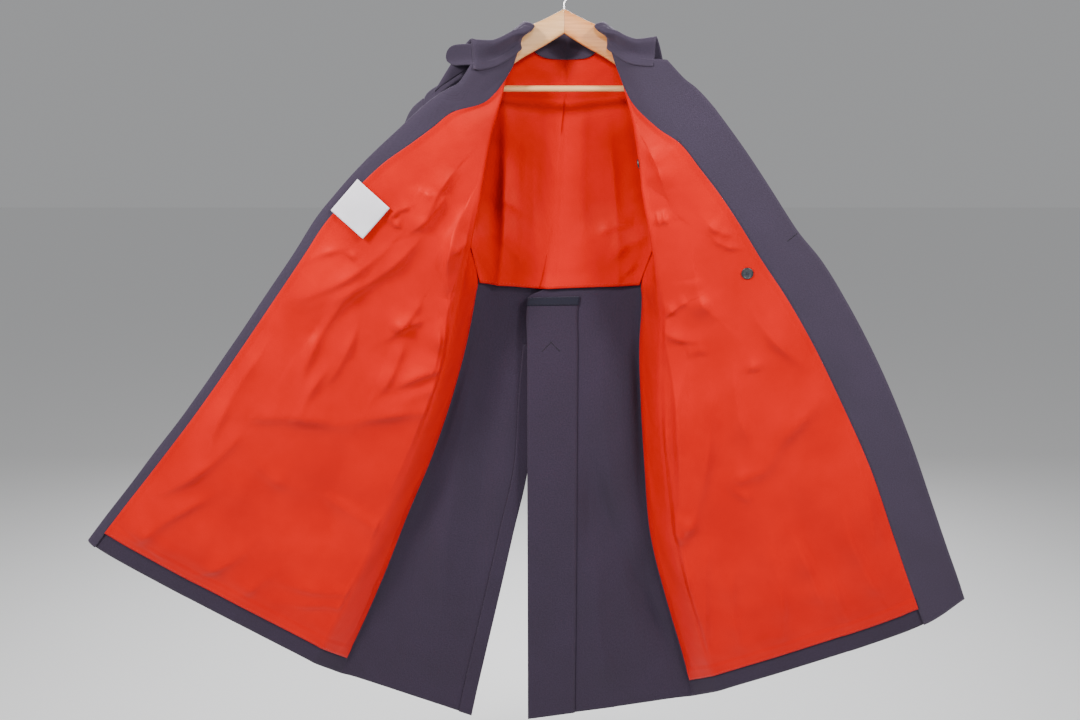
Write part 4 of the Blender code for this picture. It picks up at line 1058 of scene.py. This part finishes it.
# The turn of each section: shares of the cover's lift, the fall and the corner, and two heights
LEAVING_SHARE = 0.3
CROWN_SHARE = 0.5
CROWN_RISE = 0.004
BEHIND_DROP = 0.003
BEHIND_LEAF = 0.35
EDGE_SHARE = 1.4
# Tab: its foot's columns on the collar's end, its size, rounding, droop and thickness
TAB_FOOT = 18
TAB_ROWS = 40
TAB_COLUMNS = 16
TAB_STRAIGHT = 0.55
TAB_HALF = 0.36
TAB_LEAST = 0.004
TAB_DROOP = (0.0, 0.006, -0.004)
TAB_START = 0.0006
TAB_LENGTH = 0.058
TAB_THICK = 0.0030
# How far the corner of the fall reaches past each end: x, y, z
LEAF_PLACES = (8.0, 9.0)
LEAF = {"right": (0.060, 0.030, -0.042), "left": (0.014, 0.004, -0.012)}


def collar_half(side):
    """Sections of one half of the collar, from the centre back to its end."""
    back_places = spread((0, 1, 6), (1, 2, 16), (2, 2.9, 6))
    front_places = spread(
        (0.1, 1, 6), (1, 2, 10), (2, 3, 6), (3, 4, 6), (4, 5, 14), (5, COLLAR_END[side], 12))
    height = np.array((0.0, 0.0, 1.0))
    back, front = back_keys(side), front_keys(side)
    lines = []
    for row in (0, 1):
        lines.append(np.concatenate((curve_at(back[row], back_places), curve_at(front[row], front_places))))
    stops = np.concatenate((back_places, 3.0 + front_places))
    along = unit(np.gradient(lines[0], axis=0))
    up = lines[0] - lines[1]
    up = unit(up - along * np.sum(up * along, axis=1, keepdims=True))
    inside = unit(np.cross(along, up)) * SIGN[side]
    table = np.array(COLLAR)
    sections = []
    for k, stop in enumerate(stops):
        shape = [np.interp(stop, table[:, 0], table[:, c]) for c in range(1, table.shape[1])]
        rise, lean_x, lean_y, out_x, out_y, fall_back, fall_drop, cover = shape
        foot = lines[0][k] - up[k] * cover + inside[k] * COVER_LIFT
        leaving = lines[0][k] + up[k] * COLLAR_STAND + inside[k] * LEAVING_SHARE * COVER_LIFT
        top = leaving + np.array((SIGN[side] * lean_x, lean_y, rise))
        out = np.array((SIGN[side] * out_x, out_y, 0.0)) * fall_back
        crown = top + out * CROWN_SHARE + height * CROWN_RISE
        leaf = np.array(LEAF[side]) * (SIGN[side], 1.0, 1.0) * ease(stop, *LEAF_PLACES)
        behind = top + out - height * BEHIND_DROP + BEHIND_LEAF * leaf
        edge = top + out * EDGE_SHARE - height * fall_drop + leaf
        keys = [foot, leaving, top, crown, behind, edge]
        sections.append(curve_at(keys, spread((0, 1, 5), (1, 2, 12), (2, 5, 24))))
    return sections


def dress_collar():
    """Collar with its turned fall, and the tab on its right end."""
    grid = np.array(collar_half("right")[:0:-1] + collar_half("left"))
    grid = moved_out(grid, rumple(grid, *COLLAR_UNEVEN))
    add_cloth(
        "collar_wool", grid, WOOL, WOOL_CLOTH, "collar")
    hem_stitches("collar_stitches", grid[:, -6:-3].transpose(1, 0, 2), 1.0, THREAD_DARK, "collar_wool")
    stand = grid[0, :TAB_FOOT]
    outward = unit(stand - grid[2, :TAB_FOOT]).mean(axis=0)
    rows = []
    for u in np.linspace(0.0, 1.0, TAB_ROWS):
        past = max(0.0, (u - TAB_STRAIGHT) / (1.0 - TAB_STRAIGHT))
        half = TAB_HALF * math.sqrt(max(TAB_LEAST, 1.0 - past**2))
        shares = np.linspace(0.5 - half, 0.5 + half, TAB_COLUMNS) * (TAB_FOOT - 1)
        base = points_at(shares, range(TAB_FOOT), stand)
        rows.append(base + outward * (TAB_START + TAB_LENGTH * u) + np.array(TAB_DROOP) * u * u)
    tab = np.array(rows)
    add_cloth("throat_tab_wool", tab, TAB_THICK, WOOL_CLOTH, "throat_tab")


LABEL_HALF = 0.033
LABEL_CENTRE = (-0.322, -0.382)
LABEL_TURN = 47.0
LABEL_LIFT = 0.0016
LABEL_STEPS = 25
LABEL_REACH = 0.050
LABEL_CURL = 0.0025
LABEL_CURL_FROM = 0.010
LABEL_THICK = 0.0006
LABEL_STITCH_PITCH = 0.0045
LABEL_FACING_COLUMNS = 38


def smooth_over(points, x, z, reach):
    """Depth of a smooth patch laid over the nearby points, at each x and z."""
    near = points[np.hypot(points[:, 0] - x.mean(), points[:, 2] - z.mean()) < reach]

    def terms(a, b):
        a = (a - x.mean()) / reach
        b = (b - z.mean()) / reach
        return np.stack((np.ones_like(a), a, b, a * a, a * b, b * b), axis=-1)

    weights = np.linalg.lstsq(terms(near[:, 0], near[:, 2]), near[:, 1], rcond=None)[0]
    proud = (terms(near[:, 0], near[:, 2]) @ weights - near[:, 1]).max()
    return terms(x, z) @ weights - max(proud, 0.0)


def dress_label(points):
    """Bare white label, set cornerwise over the facing's seam, its lower corner a little loose."""
    turn = math.radians(LABEL_TURN)
    steps = np.linspace(-LABEL_HALF, LABEL_HALF, LABEL_STEPS)
    a, b = np.meshgrid(steps, steps, indexing="ij")
    x = LABEL_CENTRE[0] + a * math.cos(turn) - b * math.sin(turn)
    z = LABEL_CENTRE[1] + a * math.sin(turn) + b * math.cos(turn)
    y = smooth_over(points, x, z, LABEL_REACH) - LABEL_LIFT
    y -= LABEL_CURL * ease(-b, LABEL_CURL_FROM, LABEL_HALF) * ease(np.abs(a), 0.0, LABEL_HALF)
    label = np.stack((x, y, z), axis=-1)
    add_cloth("label_blank", label, LABEL_THICK, LABEL_CLOTH, "label")
    for name, band, sign in (("upper", label[:, -4:-1].transpose(1, 0, 2), 1.0), ("side", label[1:4], -1.0)):
        hem_stitches(f"label_stitches_{name}", band, sign, THREAD_PALE, "label", LABEL_STITCH_PITCH)


# Buttons: profile in diameters from the rim's back to the middle of the face, as radius and height
BUTTON_PROFILE = (
    (0.00, 0.00), (0.30, 0.00), (0.40, 0.005), (0.47, 0.035), (0.50, 0.08), (0.495, 0.125), (0.465, 0.158),
    (0.43, 0.168), (0.395, 0.160), (0.365, 0.138), (0.34, 0.122), (0.20, 0.112), (0.00, 0.110),
)
CENTRE_RADIUS = 0.345
BUTTON_SIDES = 40
MIDDLE_HEIGHT = 0.1
# The four holes and the thread through them, in diameters
HOLES = ((1, 0), (-1, 0), (0, 1), (0, -1))
HOLE_REACH = 0.085
THREAD_HEIGHT = 0.118
THREAD_LENGTH = 0.24
THREAD_THICK = 0.022


def dress_button(node):
    """Turned button with a raised rim, a paler middle and thread through its holes."""
    points = np.array([v.co[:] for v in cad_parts[node].data.vertices])
    centre = points.mean(axis=0)
    axes = np.linalg.svd(points - centre)[2]
    face = axes[2] * (-1.0 if (axes[2][1] > 0) == node.startswith("inner") else 1.0)
    spread_out = np.linalg.norm(np.cross(points - centre, face), axis=1)
    diameter = 2.0 * spread_out.max()
    back = centre + face * ((points - centre) @ face).min()
    one = axes[0]
    two = np.cross(face, one)
    shape = bmesh.new()
    rings = []
    for radius, height in BUTTON_PROFILE:
        if radius == 0.0:
            rings.append([shape.verts.new(back + face * height * diameter)])
            continue
        ring = []
        for turn in turns(BUTTON_SIDES):
            out = (one * math.cos(turn) + two * math.sin(turn)) * radius * diameter
            ring.append(shape.verts.new(back + out + face * height * diameter))
        rings.append(ring)
    for number, (inner, outer) in enumerate(zip(rings, rings[1:])):
        paler = BUTTON_PROFILE[number][0] <= CENTRE_RADIUS and BUTTON_PROFILE[number][1] > MIDDLE_HEIGHT
        for k in range(BUTTON_SIDES):
            a = [inner[k % len(inner)], inner[(k + 1) % len(inner)]]
            b = [outer[(k + 1) % len(outer)], outer[k % len(outer)]]
            made = shape.faces.new(list(dict.fromkeys(a + b)))
            made.material_index = 1 if paler else 0
    bmesh.ops.recalc_face_normals(shape, faces=shape.faces)
    item = add_piece(node + "_turned", smooth_mesh(node + "_turned", shape), HORN, [node])
    item.data.materials.append(HORN_CENTRE)
    top = back + face * THREAD_HEIGHT * diameter
    places = [top + (one * a + two * b) * HOLE_REACH * diameter for a, b in HOLES]
    count = len(HOLES)
    add_stitches(
        node + "_thread", places, [two] * count, [face] * count, THREAD_DARK, "button",
        THREAD_LENGTH * diameter, THREAD_THICK * diameter)


# Hanger arms: x, top, bottom, half_depth
HANGER_ARM = (
    (0.0002, -0.0650, -0.1030, 0.0070),
    (0.0300, -0.0800, -0.1210, 0.0070),
    (0.0700, -0.0980, -0.1430, 0.0066),
    (0.1300, -0.1392, -0.1840, 0.0062),
    (0.1750, -0.1728, -0.2070, 0.0054),
    (0.2080, -0.2000, -0.2220, 0.0036),
)
ARM_SIDES = 28
ARM_STEPS = 40
ARM_SQUARE_Y = 0.45
ARM_SQUARE_Z = 0.35
SHARP_ANGLE = 50.0
BAR_Z = -0.1896
BAR_RADIUS = 0.0050
BAR_HALF = 0.1305
BAR_SIDES = 24
BAR_UNEVEN = 0.02
BAR_WAVES = 40.0
HOOK_WIRE = 0.0016
HOOK_RADIUS = 0.0216
HOOK_DEPTH = 0.004
HOOK_STEM = ((0.0, -0.0560), (0.006, -0.0480))
HOOK_FROM = -50.0
HOOK_SWEEP = 250.0
HOOK_STEPS = 30


def closed_loft(name, rings):
    """Closed smooth mesh through rings of points."""
    shape = bmesh.new()
    loops = [[shape.verts.new(point) for point in ring] for ring in rings]
    count = len(loops[0])
    for a, b in zip(loops, loops[1:]):
        for k in range(count):
            shape.faces.new((a[k], a[(k + 1) % count], b[(k + 1) % count], b[k]))
    shape.faces.new(loops[0])
    shape.faces.new(loops[-1])
    bmesh.ops.recalc_face_normals(shape, faces=shape.faces)
    mesh = smooth_mesh(name, shape)
    mesh.set_sharp_from_angle(angle=math.radians(SHARP_ANGLE))
    return mesh


def dress_hanger():
    """Shaped beech arms with rounded edges, the round bar and the wire hook."""
    stations = curve_at(HANGER_ARM, spread((0, len(HANGER_ARM) - 1, ARM_STEPS)))
    for side, material, slot in (("right", BEECH_PALE, "wood_pale"), ("left", BEECH_WARM, "wood_warm")):
        rings = []
        for x, top, bottom, half in stations:
            ring = []
            middle = 0.5 * (top + bottom)
            tall = 0.5 * (top - bottom)
            for turn in turns(ARM_SIDES):
                c, s = math.cos(turn), math.sin(turn)
                y = half * math.copysign(abs(c)**ARM_SQUARE_Y, c)
                z = middle + tall * math.copysign(abs(s)**ARM_SQUARE_Z, s)
                ring.append((SIGN[side] * x, y, z))
            rings.append(ring)
        node = f"hanger_arm_{side}"
        add_piece(node + "_beech", closed_loft(f"arm_{side}", rings), material, [node])
    rings = []
    for x in np.linspace(-BAR_HALF, BAR_HALF, BAR_SIDES):
        radius = BAR_RADIUS * (1.0 - BAR_UNEVEN * math.sin(BAR_WAVES * x) ** 2)
        rings.append([(x, radius * math.cos(t), BAR_Z + radius * math.sin(t)) for t in turns(BAR_SIDES)])
    add_piece("hanger_bar_beech", closed_loft("bar", rings), BEECH_PALE, ["hanger_bar"])
    route = [(0.0, HANGER_ARM[0][1] - HOOK_DEPTH), *HOOK_STEM]
    for k in range(HOOK_STEPS + 1):
        angle = math.radians(HOOK_FROM + HOOK_SWEEP * k / HOOK_STEPS)
        route.append((HOOK_RADIUS * math.cos(angle), HOOK_WIRE - HOOK_RADIUS + HOOK_RADIUS * math.sin(angle)))
    curve = bpy.data.curves.new("hook", "CURVE")
    curve.dimensions = "3D"
    curve.bevel_depth = HOOK_WIRE
    curve.bevel_resolution = 4
    curve.use_fill_caps = True
    line = curve.splines.new("POLY")
    line.points.add(len(route) - 1)
    for point, (x, z) in zip(line.points, route):
        point.co = (x, 0.0, z, 1.0)
    line.use_smooth = True
    add_piece("hanger_hook_wire", curve, STEEL, ["hanger_hook"])


# Arrowhead tack: place in the picture, size, reach of the patch it lies on, lift and stitches
TACK_PLACE = (551, 346)
TACK_STEPS = 8
TACK_HALF = 0.015
TACK_RISE = 0.015
TACK_DROP = 0.008
TACK_REACH = 0.020
TACK_LIFT = FACING + 0.0016
TACK_STITCH = (0.006, 0.0007)
# Buttonhole: its ends in the picture, depth, reach of the patch it lies on, lift and stitches
BUTTONHOLE_ENDS = ((788, 241), (797, 234))
BUTTONHOLE_DEPTH = -0.09
BUTTONHOLE_REACH = 0.016
BUTTONHOLE_LIFT = 0.0010
BUTTONHOLE_COUNT = 16
BUTTONHOLE_WAY = (0.61, 0.0, 0.79)
BUTTONHOLE_STITCH = (0.0042, 0.0006)
TO_VIEWER = (0.0, -1.0, 0.0)


def lay_stitches(name, grid, stops, reach, lift, size):
    """Stitches laid over a grid's points; each stop is its x and z and the way that it runs."""
    points = grid.reshape(-1, 3)
    places, ways = [], []
    for x, z, way in stops:
        y = smooth_over(points, np.array([x]), np.array([z]), reach)[0] - lift
        places.append(np.array((x, y, z)))
        ways.append(np.array(way))
    normals = [np.array(TO_VIEWER)] * len(stops)
    add_stitches(name, places, ways, normals, THREAD_DARK, "facing_wool", *size)


def small_works(back_left, facing_left):
    """Arrowhead tack over the vent and the buttonhole in the left facing."""
    x, z = seen(*TACK_PLACE, BACK_DEPTH)
    stops = []
    for share in np.linspace(0.0, 1.0, TACK_STEPS + 1):
        for lean in (-1.0, 1.0):
            way = unit(np.array((-lean, 0.0, 1.0)))
            stops.append((x + lean * TACK_HALF * (1.0 - share), z - TACK_DROP + TACK_RISE * share, way))
    lay_stitches("arrowhead_tack", back_left, stops, TACK_REACH, TACK_LIFT, TACK_STITCH)
    start, end = [seen(*place, BUTTONHOLE_DEPTH) for place in BUTTONHOLE_ENDS]
    shares = np.linspace(0.0, 1.0, BUTTONHOLE_COUNT)
    stops = [(*(start + (end - start) * share), BUTTONHOLE_WAY) for share in shares]
    lay_stitches("buttonhole", facing_left, stops, BUTTONHOLE_REACH, BUTTONHOLE_LIFT, BUTTONHOLE_STITCH)


# Surroundings
SKY = (0.95, 0.96, 0.98, 1.0)
SKY_STRENGTH = 0.36
FLOOR_Z = -1.95
FLOOR_HALF = 60.0
FLOOR_PAINT = (0.93, 0.93, 0.93, 1.0)
SPOT_SOFTNESS = 0.12
# Lights: name, kind, place, aim, breadth, power, colour.
# A square light's breadth is its side in metres, a spot's is its angle in degrees.
LIGHTS = (
    ("upper_left", "AREA", (-1.35, -1.50, 0.80), (-0.20, 0.0, -0.50), 0.4, 66.0, (1.0, 0.97, 0.94)),
    ("upper_right", "AREA", (1.25, -1.50, 0.80), (0.25, 0.0, -0.45), 0.4, 42.0, (1.0, 0.97, 0.95)),
    ("front", "SPOT", (0.05, -1.75, 0.15), (0.0, 0.0, -0.42), 58.0, 30.0, (1.0, 1.0, 1.0)),
    ("beside_right", "AREA", (1.15, -0.95, 0.00), (-0.32, 0.0, -0.75), 0.6, 10.0, (1.0, 0.98, 0.97)),
    ("beside_left", "AREA", (-1.15, -0.95, 0.00), (0.20, 0.0, -0.70), 0.6, 10.0, (1.0, 0.98, 0.97)),
    ("behind", "AREA", (0.0, 2.4, 0.9), (0.0, 0.0, -0.6), 2.0, 125.0, (0.97, 0.98, 1.0)),
)


def add_light(name, kind, place, aim, breadth, power, colour):
    """Soft square or spot light, turned towards a point."""
    light = bpy.data.lights.new(name, kind)
    if kind == "SPOT":
        light.spot_size = math.radians(breadth)
        light.spot_blend = 1.0
        light.shadow_soft_size = SPOT_SOFTNESS
    else:
        light.shape = "SQUARE"
        light.size = breadth
    light.energy = power
    light.color = colour
    item = bpy.data.objects.new(name, light)
    item.location = place
    item.rotation_euler = (Vector(aim) - Vector(place)).to_track_quat("-Z", "Y").to_euler()
    bpy.context.scene.collection.objects.link(item)


def make_surroundings():
    """Plain pale floor under an even sky."""
    world = bpy.data.worlds.new("studio")
    world.use_nodes = True
    sky = world.node_tree.nodes["Background"]
    sky.inputs["Color"].default_value = SKY
    sky.inputs["Strength"].default_value = SKY_STRENGTH
    bpy.context.scene.world = world
    mesh = bpy.data.meshes.new("floor")
    corners = [(x * FLOOR_HALF, y * FLOOR_HALF, FLOOR_Z) for x, y in ((-1, -1), (1, -1), (1, 1), (-1, 1))]
    mesh.from_pydata(corners, [], [(0, 1, 2, 3)])
    paint, tree, shader = new_material("floor_paint")
    feed(tree, shader, {"Base Color": FLOOR_PAINT, "Roughness": 1.0, "Specular IOR Level": 0.0})
    mesh.materials.append(paint)
    floor = bpy.data.objects.new("floor", mesh)
    bpy.context.scene.collection.objects.link(floor)


def make_stage():
    """Surroundings, soft lights and the camera."""
    make_surroundings()
    for light in LIGHTS:
        add_light(*light)
    camera = bpy.data.cameras.new("camera")
    camera.lens = CAMERA_LENS
    camera.sensor_width = SENSOR_WIDTH
    item = bpy.data.objects.new("camera", camera)
    item.location = CAMERA_PLACE
    item.rotation_euler = (math.radians(90.0 - CAMERA_PITCH), 0.0, 0.0)
    bpy.context.scene.collection.objects.link(item)
    bpy.context.scene.camera = item


seen_points = {side: dress_front(side) for side in SIGN}
backs = {side: dress_back(side) for side in SIGN}
dress_back_lining()
for side in SIGN:
    dress_sleeve(side)
dress_collar()
right_lining, right_facing = seen_points["right"]
right_facing = right_facing[:, :LABEL_FACING_COLUMNS]
dress_label(np.concatenate((right_lining.reshape(-1, 3), right_facing.reshape(-1, 3))))
for node in sorted(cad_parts):
    if "button" in node:
        dress_button(node)
small_works(backs["left"], seen_points["left"][1])
dress_hanger()
make_stage()

bpy.context.view_layer.update()
